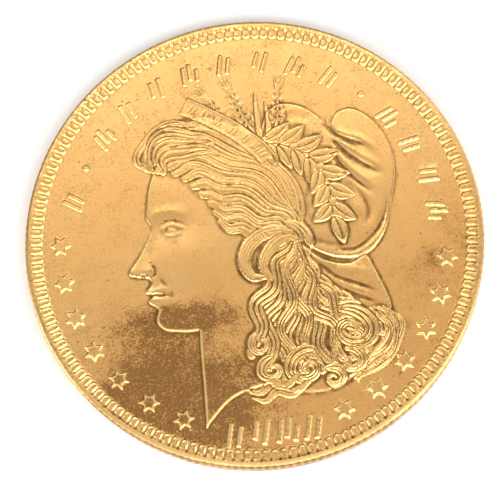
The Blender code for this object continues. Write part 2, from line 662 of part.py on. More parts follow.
def portrait_plan():
    """The portrait side: portrait, stars and strokes."""
    plan = rim_plan()
    for k in range(LEFT_STAR_COUNT):
        turn = LEFT_STARS_FROM + STAR_STEP * k
        centre = around(STAR_CIRCLE, turn)
        plan.raised(star_outline(centre, STAR_RADIUS, turn), STAR_HEIGHT, EDGE_SLOPE)
    for k in range(RIGHT_STAR_COUNT):
        turn = RIGHT_STARS_FROM + STAR_STEP * k
        centre = around(STAR_CIRCLE, turn)
        plan.raised(star_outline(centre, STAR_RADIUS, turn), STAR_HEIGHT, EDGE_SLOPE)
    for k in range(SIGN_COUNT):
        turn = SIGNS_FROM + (SIGNS_TO - SIGNS_FROM) * k / (SIGN_COUNT - 1)
        up = around(1, turn)
        if k in DOT_PLACES:
            ring = [up * SIGN_CIRCLE + around(DOT_RADIUS, turn + 60 * j) for j in range(7)]
            plan.raised(ring, SIGN_RELIEF, EDGE_SLOPE)
            continue
        for outline in sign_strokes(up * SIGN_CIRCLE, up, SIGN_HEIGHT, k):
            plan.raised(outline, SIGN_RELIEF, EDGE_SLOPE)
    for k in range(ROW_COUNT):
        x = ROW_STEP * (k - (ROW_COUNT - 1) / 2)
        for outline in sign_strokes(np.array([x, -ROW_DROP]), np.array([0.0, 1.0]), ROW_HEIGHT, k):
            plan.raised(outline, SIGN_RELIEF, EDGE_SLOPE)
    sheet = carve_portrait(CARVING_PITCH, 0, False)
    height = np.maximum(sheet.form + sheet.detail, 0)
    near = soften((height > 0).astype(float), 1) > 0
    points = np.stack([sheet.x[near], sheet.y[near]], 1) * UNIT
    plan.add(points, height[near] * LIFT, joined=False)
    return plan, len(points)


def back_plan():
    """The plain side: a laurel wreath, a medallion and a ring of strokes."""
    plan = rim_plan()
    for side in (-1, 1):
        for k in range(LAUREL_LEAVES):
            turn = -90 + side * (14 + 148 * k / (LAUREL_LEAVES - 1))
            for lean in (-1, 1):
                base = around(LAUREL_CIRCLE, turn)
                f = around(1, turn + side * (90 + 30 * lean))
                n = np.array([-f[1], f[0]])
                base = base + f * LEAF_WIDTH * 0.3
                tip = base + f * LEAF_LENGTH * 0.75
                belly = base + f * LEAF_LENGTH * 0.34
                ring = np.array([base, belly - n * LEAF_WIDTH / 2, tip, belly + n * LEAF_WIDTH / 2, base])
                plan.raised(ring, LEAF_HEIGHT, 0, [belly])
    plan.raised([around(BOSS_RADIUS, 15 * k) for k in range(25)], LEAF_HEIGHT, BOSS_SLOPE)
    for k in range(BACK_SIGN_COUNT):
        up = around(1, 90 + 360 * (k + 0.5) / BACK_SIGN_COUNT)
        across = np.array([up[1], -up[0]]) * SIGN_HEIGHT / 2
        middle = up * BACK_SIGN_CIRCLE
        plan.raised(bar(middle - across, middle + across, SIGN_HEIGHT * 0.16), SIGN_RELIEF, EDGE_SLOPE)
    return plan


def build_coin():
    plan, carved = portrait_plan()
    mesh = bmesh.new()
    rims = []
    for side, face in ((1, plan), (-1, back_plan())):
        points, triangles, heights, sources = face.mesh()
        if side > 0:
            first = len(plan.points) - carved
            free = [k for k, source in enumerate(sources) if source and source[0] >= first]
        field = RIM_THICKNESS / 2 - FIELD_RECESS
        level = RIM_THICKNESS / 2 + side * (field + heights)
        corners = [mesh.verts.new((x, y, z)) for (x, y), z in zip(points, level)]
        for a, b, c in triangles:
            ring = (corners[a], corners[b], corners[c])
            mesh.faces.new(ring if side > 0 else ring[::-1])
        radius = np.hypot(points[:, 0], points[:, 1])
        order = np.argsort(np.arctan2(points[:, 1], points[:, 0]))
        edge = [k for k in order if radius[k] > DIAMETER / 2 - REED_DEPTH * 1.2]
        rims.append([corners[k] for k in edge])
    top, bottom = rims
    for k in range(len(top)):
        j = (k + 1) % len(top)
        mesh.faces.new((top[k], bottom[k], bottom[j], top[j]))
    bmesh.ops.triangulate(mesh, faces=[f for f in mesh.faces if len(f.verts) > 3])
    bmesh.ops.recalc_face_normals(mesh, faces=mesh.faces)
    data = bpy.data.meshes.new("coin")
    mesh.to_mesh(data)
    mesh.free()
    coin = bpy.data.objects.new("coin", data)
    # The carving's fine grid is thinned to the facets that carry its form
    group = coin.vertex_groups.new(name="portrait")
    group.add(free, 1.0, "REPLACE")
    thin = coin.modifiers.new("facets", "DECIMATE")
    thin.ratio = FACETS / len(data.polygons)
    thin.vertex_group = group.name
    thin.use_collapse_triangulate = True
    return coin


def metal():
    material = bpy.data.materials.new("toned metal")
    material.use_nodes = True
    shader = material.node_tree.nodes["Principled BSDF"]
    shader.inputs["Base Color"].default_value = COIN_COLOUR
    shader.inputs["Roughness"].default_value = COIN_ROUGHNESS
    shader.inputs["Metallic"].default_value = COIN_METALLIC
    material.diffuse_color = COIN_COLOUR
    return material


def main():
    for item in list(bpy.data.objects):
        bpy.data.objects.remove(item, do_unlink=True)
    group = bpy.data.collections.new("coin")
    bpy.context.scene.collection.children.link(group)
    coin = build_coin()
    coin.data.materials.append(metal())
    group.objects.link(coin)


main()
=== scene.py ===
"""The struck coin with its fine relief and toned metal, on a plain floor in soft light.

The coin takes the place of the plain solid from the frame and keeps its form: the
same carving over the same plan, with strands of hair, veins, round teeth and reeds.
"""

import math

import bpy
import numpy as np
from mathutils import Matrix, Vector
from mathutils.geometry import delaunay_2d_cdt


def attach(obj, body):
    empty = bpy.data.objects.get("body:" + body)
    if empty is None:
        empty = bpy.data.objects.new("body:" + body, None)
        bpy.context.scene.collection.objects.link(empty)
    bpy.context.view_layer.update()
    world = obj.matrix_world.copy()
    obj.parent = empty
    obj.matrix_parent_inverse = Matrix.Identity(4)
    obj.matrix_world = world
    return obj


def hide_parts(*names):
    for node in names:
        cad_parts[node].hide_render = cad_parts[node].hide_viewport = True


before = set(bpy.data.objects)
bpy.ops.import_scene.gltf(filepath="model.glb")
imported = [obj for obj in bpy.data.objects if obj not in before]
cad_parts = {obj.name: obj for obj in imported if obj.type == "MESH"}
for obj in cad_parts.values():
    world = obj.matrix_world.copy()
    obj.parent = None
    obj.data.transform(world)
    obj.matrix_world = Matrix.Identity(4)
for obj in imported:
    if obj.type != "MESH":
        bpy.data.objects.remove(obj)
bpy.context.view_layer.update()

# Overall sizes in metres
DIAMETER = 0.0381
RIM_THICKNESS = 0.0024
FIELD_RECESS = 0.00022
RIM_WIDTH = 0.00055

# The edge, and its shoulders as rings: distance in from the edge and down, and share of the reeds
REED_COUNT = 188
REED_DEPTH = 0.00006
REED_STEPS = (0.0, 0.12, 0.8, 1.0, 0.8, 0.12)
SHOULDER_LEAN = 0.12
SHOULDER = (
    (0.00032, 0.000008, 0.0),
    (0.0002, 0.000026, 0.0),
    (0.0001, 0.00006, 0.2),
    (0.00003, 0.00011, 0.6),
    (0.0, 0.0002, 1.0),
)

# Teeth inside each rim
TOOTH_COUNT = 151
TOOTH_LENGTH = 0.00097
TOOTH_HEIGHT = 0.0001
TOOTH_FILL = 0.98
TOOTH_SLOPE = 0.00013

# The field inside the teeth, from which the clearances below are taken
FIELD_RADIUS = DIAMETER / 2 - RIM_WIDTH - TOOTH_LENGTH

# The portrait
PORTRAIT_CLEARANCE = 0.00023
PORTRAIT_FIELD_RADIUS = FIELD_RADIUS - PORTRAIT_CLEARANCE
PORTRAIT_MIDDLE = (0.00007, -0.00062)
RELIEF_HEIGHT = 0.00021

# Stars and strokes around the portrait
STAR_RADIUS = 0.00097
STAR_CLEARANCE = 0.00049
STAR_CIRCLE = FIELD_RADIUS - STAR_CLEARANCE - STAR_RADIUS
STAR_HEIGHT = 0.00009
LEFT_STAR_COUNT = 7
LEFT_STARS_FROM = 175.5
RIGHT_STAR_COUNT = 6
RIGHT_STARS_FROM = 291.2
STAR_STEP = 11.3
EDGE_SLOPE = 0.0001
SIGN_HEIGHT = 0.00182
SIGN_CLEARANCE = 0.00121
SIGN_CIRCLE = FIELD_RADIUS - SIGN_CLEARANCE - SIGN_HEIGHT / 2
SIGN_RELIEF = 0.00008
SIGN_COUNT = 15
DOT_PLACES = (1, 10)
DOT_RADIUS = 0.0003
SIGNS_FROM = 161.2
SIGNS_TO = 2.2
ROW_HEIGHT = 0.0021
ROW_STEP = 0.00213
ROW_CLEARANCE = 0.00038
ROW_DROP = FIELD_RADIUS - ROW_CLEARANCE - ROW_HEIGHT / 2
ROW_COUNT = 4

# The other side
LAUREL_CIRCLE = 0.0088
LAUREL_LEAVES = 13
LEAF_LENGTH = 0.0031
LEAF_WIDTH = 0.0011
LEAF_HEIGHT = 0.00015
BACK_SIGN_COUNT = 24
BACK_SIGN_CLEARANCE = 0.00233
BACK_SIGN_CIRCLE = FIELD_RADIUS - BACK_SIGN_CLEARANCE
BOSS_RADIUS = 0.003
BOSS_SLOPE = 0.0004

# Grids in carving units, the coarsest block of the mesh in grid steps, and what the mesh may miss
GRID_HALF = 112.0
FRONT_PITCH = 0.28
BACK_PITCH = 0.5
COARSEST = 16
FRONT_TOLERANCE = 0.0000078
BACK_TOLERANCE = 0.000014
SHADE_TOLERANCE = 0.2
SLOPE_TOLERANCE = 0.16

# Where the mesh follows the teeth, as shares of their half width, and its joins to them
TOOTH_ARCHES = (0.98, 0.86, 0.74, 0.6)
TOOTH_FOOT = 1.22
FOOT_CLEARANCE = 0.00014
JOIN_INSET = 0.00046

# How far below or above its surroundings a hollow takes full dirt and painted shade, and a ridge full wear
# and painted highlight
HOLLOW = 0.000022
RIDGE = 0.000014

# Toned places: middle and reach in carving units, each along x and y, and how dark they are
TONED = (
    (-38, -35, 26, 8, 0.80), (-35, -70, 30, 22, 0.78), (-10, -84, 40, 12, 0.30), (-62, -55, 28, 26, 0.50),
    (-15, -42, 18, 12, 0.15), (-8, -62, 16, 14, 0.25), (70, -55, 30, 34, 0.22), (78, -25, 9, 10, 0.30),
    (100, -12, 9, 22, 0.40), (60, -80, 30, 14, 0.15), (-75, -78, 30, 12, 0.36), (20, -104, 50, 7, 0.25),
    (-104, 2, 7, 30, 0.15), (-45, 62, 10, 8, 0.10), (-85, 5, 14, 20, 0.08),
    (-80, -74, 16, 14, 0.30), (-46, -98, 26, 9, 0.52), (4, -108, 34, 6, 0.45), (46, -98, 22, 8, 0.30),
    (84, -20, 5, 7, 0.35), (88, 4, 6, 12, 0.20), (-22, -36, 10, 5, 0.20), (-25, -88, 20, 10, 0.22),
)

# Colours and fine bumps of the metal
PALE_GOLD = (0.98, 0.575, 0.205)
PEACH_GOLD = (0.96, 0.52, 0.17)
GRAIN_GOLD = (0.70, 0.38, 0.12)
BROWN = (0.37, 0.18, 0.055)
DARK_BROWN = (0.12, 0.055, 0.02)
# Dirt and painted shade for the hollows
DIRT_AND_SHADE = (0.17, 0.078, 0.023)
# Rubbed wear and painted highlight for the ridges
RUBBED_AND_HIGHLIGHT = (1.0, 0.69, 0.27)
BUMP_STRENGTH = 0.5
BUMP_HEIGHT = 0.000012

# Lights: azimuth in the picture, elevation, size in metres and radiance
LIGHT_DISTANCE = 0.6
LIGHTS = {
    "key": (285, 60, (0.7, 0.3), 6.0),
    "lower_right": (335, 34, (0.4, 0.3), 4.0),
    "lower_left": (205, 34, (0.4, 0.3), 4.0),
    "overhead": (100, 60, (0.5, 0.2), 2.5),
    "upper_right": (40, 34, (0.4, 0.3), 1.2),
}
WORLD_COLOUR = (0.95, 0.97, 1.0, 1.0)
WORLD_STRENGTH = 0.22
FLOOR_COLOUR = (0.80, 0.79, 0.77)
FLOOR_ROUGHNESS = 0.8
FLOOR_SIZE = 3.0
FLOOR_GAP = 0.00002

# The camera: the middle of the coin and the picture's size in pixels, then metres and degrees
COIN_IN_PICTURE = (253.11, 237.8)
PICTURE_SIZE = (500, 489)
PIXELS_PER_METRE = 12086.0
CAMERA_DISTANCE = 0.15
CAMERA_TILT = 14.0
CAMERA_FROM = 282.0
DESIGN_ROLL = 6.2
SENSOR_WIDTH = 36.0

# A carving unit is a hundredth of the portrait's field, and LIFT turns carved heights into metres
UNIT = PORTRAIT_FIELD_RADIUS / 100
CARVING_PEAK = 0.27
WORN_FROM = 0.20
LIFT = RELIEF_HEIGHT / CARVING_PEAK
JOIN = DIAMETER / 2 - JOIN_INSET
EDGE_POINTS = REED_COUNT * len(REED_STEPS)

# Lines and outlines in the plan

def smooth_line(points, steps=6, closed=False):
    """A smooth run of points through the given ones."""
    p = np.asarray(points, float)
    if closed:
        p = np.vstack([p[-1], p, p[:2]])
    else:
        p = np.vstack([2 * p[0] - p[1], p, 2 * p[-1] - p[-2]])
    t = np.linspace(0, 1, steps, endpoint=False)[:, None]
    runs = []
    for a, b, c, d in zip(p[:-3], p[1:-2], p[2:-1], p[3:]):
        bend = (2 * a - 5 * b + 4 * c - d) * t**2 + (3 * b - a - 3 * c + d) * t**3
        runs.append(0.5 * (2 * b + (c - a) * t + bend))
    line = np.vstack(runs)
    last = line[:1] if closed else p[-2]
    return np.vstack([line, last])


def measure(x, y, line):
    """Distance to the line, the share of its length there, and the side of it."""
    best = np.full(x.shape, 1e9)
    share = np.zeros(x.shape)
    side = np.ones(x.shape)
    step = np.diff(line, axis=0)
    length = np.maximum(np.hypot(step[:, 0], step[:, 1]), 1e-9)
    run = np.concatenate([[0], np.cumsum(length)])
    for (sx, sy), (dx, dy), l, r in zip(line[:-1], step, length, run):
        t = np.clip(((x - sx) * dx + (y - sy) * dy) / (l * l), 0, 1)
        ox = x - sx - t * dx
        oy = y - sy - t * dy
        d = ox * ox + oy * oy
        near = d < best
        best = np.where(near, d, best)
        share = np.where(near, (r + t * l) / run[-1], share)
        side = np.where(near, np.where(dx * oy - dy * ox < 0, -1.0, 1.0), side)
    return np.sqrt(best), share, side


def inside(x, y, outline):
    odd = np.zeros(x.shape, bool)
    for (ax, ay), (bx, by) in zip(outline[:-1], outline[1:]):
        if ay != by:
            crosses = (ay > y) != (by > y)
            odd ^= crosses & (x < (bx - ax) * (y - ay) / (by - ay) + ax)
    return odd


def ease(t):
    t = np.clip(t, 0, 1)
    return t * t * (3 - 2 * t)


def around(radius, degrees):
    a = math.radians(degrees)
    return np.array([radius * math.cos(a), radius * math.sin(a)])


def between(a, b, share):
    return [(p[0] + (q[0] - p[0]) * share, p[1] + (q[1] - p[1]) * share) for p, q in zip(a, b)]


def soften(a, cells):
    """Mean over a square window, twice."""
    for axis in (0, 1, 0, 1):
        pad = [(0, 0), (0, 0)]
        pad[axis] = (cells + 1, cells)
        total = np.cumsum(np.pad(a, pad, mode="edge"), axis=axis)
        n = 2 * cells + 1
        end = total.shape[axis]
        a = (np.take(total, range(n, end), axis) - np.take(total, range(0, end - n), axis)) / n
    return a


# The carving, over a grid of carving units, with heights up to CARVING_PEAK

class Sheet:
    """A grid with the large forms and, in detail, what lies on them."""

    def __init__(self, pitch, half=GRID_HALF):
        self.pitch = pitch
        self.half = half
        axis = np.linspace(-half, half, int(round(2 * half / pitch)) + 1)
        self.x, self.y = np.meshgrid(axis, axis)
        self.middle = np.zeros(2)
        self.form = np.zeros(self.x.shape)
        self.detail = np.zeros(self.x.shape)

    def move(self, step):
        """Count the places that follow from another middle."""
        self.middle = self.middle + step
        self.x = self.x - step[0]
        self.y = self.y - step[1]

    def window(self, line, margin):
        low = np.min(line, axis=0) + self.middle - margin
        high = np.max(line, axis=0) + self.middle + margin
        n = len(self.x)
        i0, j0 = [max(0, int((v + self.half) / self.pitch)) for v in low]
        i1, j1 = [min(n, int((v + self.half) / self.pitch) + 2) for v in high]
        return slice(j0, j1), slice(i0, i1)

    def region(self, outline, margin=4):
        """The depth inside a closed outline, less than zero outside it."""
        w = self.window(outline, margin)
        x, y = self.x[w], self.y[w]
        d = measure(x, y, outline)[0]
        return w, np.where(inside(x, y, outline), d, -d)

    def stroke(self, line, margin):
        w = self.window(line, margin)
        return (w, *measure(self.x[w], self.y[w], line))


def lay(s, outline, rise, edge, swell, reach):
    """A swelling form inside the outline: a steep edge and then a slow rise."""
    w, d = s.region(outline)
    slow = soften(1 - np.exp(-np.maximum(d, 0) / reach), max(1, int(round(2.2 / s.pitch))))
    h = np.where(d > 0, (rise + swell * slow) * ease(d / edge), 0)
    s.form[w] = np.maximum(s.form[w], h)


def bump(s, centre, size, height, turn=0.0):
    """A soft rise, or a hollow where the height is less than zero."""
    w = s.window(np.array([centre, centre]), 2.6 * max(size))
    x = s.x[w] - centre[0]
    y = s.y[w] - centre[1]
    c, q = around(1, turn)
    u = (x * c + y * q) / size[0]
    v = (-x * q + y * c) / size[1]
    s.form[w] += height * np.exp(-(u * u + v * v)) * (s.form[w] > 0)


def crease(s, points, width, height, fade_in=0.3, fade_out=0.3):
    """A soft ridge along a line, or a groove where the height is less than zero."""
    w, d, share, side = s.stroke(smooth_line(points), 2.6 * width)
    fade = ease(share / fade_in) * ease((1 - share) / fade_out)
    s.form[w] += np.where(s.form[w] > 0, height * fade * np.exp(-((d / width) ** 2)), 0)


def lock(s, line, width, strands=0, lift=0.02, crown=0.045, comb=0.04, start=0.4, end=0.2, middle=0.45):
    """A tapered round band laid over what is below it, combed into strands."""
    w, d, share, side = s.stroke(line, width)
    m = middle
    rising = 1 - (1 - start) * (1 - share / m) ** 2
    falling = 1 - (1 - end) * ((share - m) / (1 - m)) ** 2
    t = side * d / (0.5 * width * np.where(share < m, rising, falling))
    crown_shape = np.sqrt(np.clip(1 - t * t, 0, 1))
    h = lift + crown * crown_shape
    if strands:
        # The strands part unevenly, and deeper in some places than in others
        phase = line[0][0] + 0.7 * line[0][1]
        u = t + 0.14 * np.sin(2.1 * t + phase + 5 * share)
        teeth = np.abs(np.sin(0.5 * np.pi * strands * (u + 1))) ** 1.15
        h = h + comb * (teeth - 1) * (0.35 + 0.65 * crown_shape) * (0.8 + 0.35 * np.sin(9 * share + phase))
    s.detail[w] = np.where(np.abs(t) < 1, h, s.detail[w])


def family(s, guides, count, wave, waves, drift, overlap, **shape):
    """Locks spread between guide lines, each laid over the one before."""
    n = len(guides) - 1
    for k in range(count):
        share = (k + 0.5) / count * n
        i = min(int(share), n - 1)
        a, b = guides[i], guides[i + 1]
        gap = n * np.mean([math.dist(p, q) for p, q in zip(a, b)])
        line = smooth_line(between(a, b, share - i), 8)
        d = np.gradient(line, axis=0)
        d /= np.maximum(np.hypot(d[:, 0], d[:, 1]), 1e-9)[:, None]
        run = np.linspace(0, 1, len(line))
        off = wave * ease(run / 0.2) * np.sin(2 * np.pi * (waves * run + drift * k))
        line = line + np.stack([-d[:, 1], d[:, 0]], 1) * off[:, None]
        lock(s, line, gap / count * overlap, **shape)


def curl(s, centre, radius, begin, way, turns, squash, turn, **shape):
    """A curl of hair: a wide lock that winds in to its centre, and a thinner one inside it."""
    c, q = around(1, turn)
    for size, delay, width in ((1.0, 0, 0.66), (0.60, 160, 0.46)):
        points = []
        for step in range(25):
            share = step / 24
            r = radius * size * (1.0 - 0.76 * share)
            u, v = around(r, begin + way * (delay + 360 * turns * share))
            v *= squash
            points.append((centre[0] + u * c - v * q, centre[1] + u * q + v * c))
        lock(s, smooth_line(points, 2), radius * width, start=0.5, end=0.25, middle=0.25, **shape)


def plate(s, outline, lift, edge, dome=0.0):
    """A raised shape with a domed top, laid over what is below it."""
    w, d = s.region(outline)
    h = lift * ease(d / edge) + dome * (1 - np.exp(-np.maximum(d, 0) / (2 * edge)))
    s.detail[w] = np.where(d > 0, h, s.detail[w])
    return w, d > 0


def leaf(s, base, length, width, turn, bend=0.1, lift=0.08, vein=0.075):
    """A pointed leaf with a curved midrib."""
    f = around(1, turn)
    n = np.array([-f[1], f[0]])
    t = np.linspace(0, 1, 13)
    half = 0.5 * width * np.sin(np.pi * t**0.85) ** 0.8
    middle = np.array(base) + np.outer(t * length, f) + np.outer(bend * length * np.sin(np.pi * t), n)
    one = middle + np.outer(half, n)
    other = (middle - np.outer(half, n))[::-1]
    w, on = plate(s, np.vstack([one, other, one[:1]]), lift, 0.9, 0.035)
    d = measure(s.x[w], s.y[w], middle[:-2])[0]
    s.detail[w] -= np.where(on, vein * np.exp(-((d / 0.5) ** 2)), 0)


def berry(s, centre, radius, lift=0.12):
    w = s.window(np.array([centre, centre]), radius + 1)
    r = np.hypot(s.x[w] - centre[0], s.y[w] - centre[1]) / radius
    h = 0.03 + (lift - 0.03) * np.sqrt(np.clip(1 - r * r, 0, 1))
    s.detail[w] = np.where(r < 1, h, s.detail[w])


def grain_ear(s, base, tip, pairs, size, bend):
    """An ear of grain: a stalk, pairs of kernels and a few bristles."""
    b, t = np.array(base, float), np.array(tip, float)
    length = math.dist(base, tip)
    f = (t - b) / length
    n = np.array([-f[1], f[0]])
    stalk = [b + length * (f * q + n * bend * math.sin(math.pi * q)) for q in np.linspace(0, 1, 5)]
    line = smooth_line(stalk, 12)
    lock(s, line, 1.8, lift=0.05, crown=0.03, start=1, end=0.7)
    turn = math.degrees(math.atan2(f[1], f[0]))
    for k in range(pairs):
        p = line[int((0.42 + 0.54 * k / (pairs - 1)) * (len(line) - 1))]
        small = size * (1 - 0.45 * k / (pairs - 1))
        for side in (-1, 1):
            leaf(s, p + n * side * 0.3 * small, small * 1.9, small * 0.95, turn + side * 24, -0.05 * side)
    for side in (-16, -5, 6, 17):
        end = line[-2] + around(size * 2.6, turn + side)
        lock(s, np.array([line[-2], end]), 0.9, lift=0.035, crown=0.03, start=1, end=0.4)


# The head, in carving units; the face is set out in thirds of its height

FACE_THIRD = 28.0
HAIRLINE = (-51.0, 47.0)


def on_face(forward, down):
    return HAIRLINE[0] - forward * FACE_THIRD, HAIRLINE[1] - down * FACE_THIRD


def face_outline():
    forehead = [(-0.62, -0.22), (-0.30, 0.02), (-0.10, 0.40), (-0.02, 0.78), (0.0, 0.98), (-0.06, 1.17)]
    nose = [(0.05, 1.42), (0.22, 1.68), (0.37, 1.86), (0.36, 1.97), (0.21, 2.02), (0.04, 2.06)]
    lips = [(0.03, 2.15), (0.11, 2.24), (0.13, 2.29), (0.02, 2.345), (0.09, 2.42), (0.06, 2.50)]
    chin = [(-0.05, 2.60), (-0.01, 2.74), (-0.04, 2.88), (-0.16, 2.99), (-0.34, 3.03), (-0.60, 3.06)]
    jaw = [(-0.95, 3.02), (-1.35, 2.80), (-1.66, 2.45), (-1.80, 1.95), (-1.9, 1.2)]
    crown = [(-1.6, 0.2), (-1.0, -0.3)]
    points = [on_face(*p) for p in forehead + nose + lips + chin + jaw + crown]
    return smooth_line(points, 5, closed=True)


def carve_face(s):
    lay(s, face_outline(), 0.080, 1.1, 0.09, 12)
    t = FACE_THIRD
    # Brow, eye socket, eyeball and lids
    bump(s, on_face(-0.42, 1.22), (0.28 * t, 0.16 * t), -0.070, 8)
    bump(s, on_face(-0.10, 1.20), (0.07 * t, 0.12 * t), -0.022)
    brow = ((-0.06, 0.98), (-0.25, 0.90), (-0.50, 0.90), (-0.80, 1.02))
    crease(s, [on_face(*p) for p in brow], 0.06 * t, 0.042, 0.25, 0.5)
    bump(s, on_face(-0.40, 1.235), (0.125 * t, 0.075 * t), 0.062, -6)
    upper_lid = ((-0.255, 1.255), (-0.32, 1.165), (-0.44, 1.135), (-0.58, 1.19), (-0.70, 1.27))
    crease(s, [on_face(*p) for p in upper_lid], 0.024 * t, 0.055, 0.12, 0.35)
    crease(s, [on_face(f, d - 0.075) for f, d in upper_lid], 0.025 * t, -0.026, 0.3, 0.4)
    lower_lid = ((-0.27, 1.29), (-0.38, 1.335), (-0.52, 1.325), (-0.66, 1.28))
    crease(s, [on_face(*p) for p in lower_lid], 0.022 * t, 0.032, 0.3, 0.4)
    bump(s, on_face(-0.345, 1.225), (0.036 * t, 0.05 * t), -0.024)
    # Side of the nose, its wing and nostril
    nose_side = ((-0.14, 1.22), (-0.04, 1.50), (0.03, 1.74))
    crease(s, [on_face(*p) for p in nose_side], 0.09 * t, -0.026, 0.35, 0.35)
    bump(s, on_face(0.05, 1.915), (0.10 * t, 0.09 * t), 0.050)
    wing = ((-0.01, 1.80), (-0.075, 1.88), (-0.065, 1.98), (0.0, 2.03))
    crease(s, [on_face(*p) for p in wing], 0.028 * t, -0.040)
    nostril = ((0.07, 2.015), (0.14, 1.985), (0.20, 1.995))
    crease(s, [on_face(*p) for p in nostril], 0.028 * t, -0.055)
    bump(s, on_face(0.27, 1.90), (0.08 * t, 0.08 * t), 0.022)
    # Fold beside the mouth, lips and chin
    fold = ((-0.10, 2.02), (-0.22, 2.16), (-0.32, 2.32))
    crease(s, [on_face(*p) for p in fold], 0.05 * t, -0.018, 0.3, 0.5)
    bump(s, on_face(-0.06, 2.27), (0.17 * t, 0.052 * t), 0.042, 12)
    bump(s, on_face(-0.06, 2.43), (0.14 * t, 0.056 * t), 0.045, -8)
    mouth = ((0.06, 2.345), (-0.05, 2.335), (-0.16, 2.36), (-0.29, 2.36))
    crease(s, [on_face(*p) for p in mouth], 0.025 * t, -0.060, 0.05, 0.45)
    bump(s, on_face(-0.31, 2.37), (0.06 * t, 0.06 * t), -0.022)
    bump(s, on_face(-0.14, 2.58), (0.20 * t, 0.05 * t), -0.024)
    bump(s, on_face(-0.22, 2.78), (0.20 * t, 0.15 * t), 0.036)
    # Cheek, jaw and forehead
    bump(s, on_face(-0.72, 1.72), (0.40 * t, 0.34 * t), 0.040, 30)
    bump(s, on_face(-0.95, 2.35), (0.45 * t, 0.30 * t), -0.020, 30)
    bump(s, on_face(-0.35, 0.50), (0.40 * t, 0.36 * t), 0.022)


def carve_forms(s):
    front = smooth_line([(-31, -38), (-31.5, -52), (-31.8, -70)], 4)
    cut = smooth_line([(-32.5, -86), (-26, -79), (-18, -72.5), (-8, -69), (4, -67)], 4)
    under_hair = [(20, -60), (26, -30), (20, 0), (-10, 4), (-31, -30), (-31, -38)]
    lay(s, np.vstack([front, cut, under_hair]), 0.085, 1.0, 0.05, 9)
    carve_face(s)
    nape = [(20, 4), (27, -12), (36, -25), (50, -29), (59, -33), (63, -44), (58, -53), (50, -62),
            (40, -69), (30, -74), (14, -74), (1, -70), (-3, -62), (-6, -54), (-7, -45), (-9, -36),
            (-7, -24), (-2, -12), (8, -2)]
    lay(s, smooth_line(nape, 4, closed=True), 0.05, 2.0, 0.075, 9)
    ribbon = [(22, -2), (32, -10), (44, -13), (52, -10), (56, -18), (61, -33), (60, -40), (48, -37),
              (36, -31), (27, -21)]
    lay(s, smooth_line(ribbon, 4, closed=True), 0.09, 1.4, 0.07, 7)
    crease(s, [(27, -9), (36, -19), (48, -25), (58, -30)], 1.6, -0.050, 0.3, 0.3)
    crease(s, [(29, -8), (39, -15), (50, -18), (57, -24)], 1.8, 0.035, 0.3, 0.3)
    crease(s, [(28, -15), (37, -25), (48, -31), (58, -36)], 1.5, -0.045, 0.3, 0.3)
    crown = [(-50, 46), (-49, 55), (-43, 62), (-32, 67), (-18, 68), (0, 60), (16, 50), (26, 34),
             (28, 14), (25, 0), (12, -6), (0, -4), (-9, 3), (-15, 13), (-19, 24), (-29, 36), (-41, 43)]
    lay(s, smooth_line(crown, 4, closed=True), 0.05, 2.0, 0.12, 13)
    cap = [(8, 52), (12, 66), (20, 70), (30, 67.5), (38, 61), (42, 56.5), (46, 62), (54, 63.5),
           (62, 58), (68, 49), (71.5, 37), (71, 25), (67, 12), (63, 0), (57, -8), (49, -12), (39, -11),
           (30, -7), (23, 0), (20, 20), (14, 40)]
    lay(s, smooth_line(cap, 4, closed=True), 0.085, 1.4, 0.095, 9)
    # Folds of the soft cap
    crease(s, [(40, 58), (44, 51), (52, 46), (61, 42)], 1.7, -0.115, 0.1, 0.4)
    crease(s, [(43, 54), (49, 50), (57, 46.5), (65, 39)], 1.7, 0.060, 0.2, 0.35)
    crease(s, [(42, 50), (48, 41), (57, 33), (66, 27)], 1.6, -0.110, 0.15, 0.35)
    crease(s, [(44, 50), (51, 43), (59, 36), (67, 30)], 1.8, 0.065, 0.2, 0.35)
    crease(s, [(41, 46), (45, 35), (52, 26), (61, 17)], 1.4, -0.085, 0.15, 0.35)
    crease(s, [(43, 46), (48, 36), (55, 28), (63, 20)], 1.6, 0.050, 0.2, 0.35)
    # The hem along the back of the cap
    crease(s, [(67, 22), (64, 9), (57, -1), (47, -7), (36, -6)], 1.1, -0.045, 0.25, 0.2)
    crease(s, [(69, 21), (66, 8), (59, -3), (48, -9.5), (36, -8.5)], 1.2, 0.035, 0.2, 0.2)
    crease(s, [(46, 28), (53, 20), (56, 10), (52, 2)], 1.8, -0.070, 0.2, 0.3)
    crease(s, [(44, 22), (49, 15), (51, 7)], 2.0, 0.040, 0.2, 0.35)
    crease(s, [(28, 0), (38, -4), (48, -5)], 2.0, -0.040, 0.2, 0.35)
    crease(s, [(14, 57), (22, 62), (31, 61), (37, 57)], 2.2, -0.035, 0.2, 0.35)


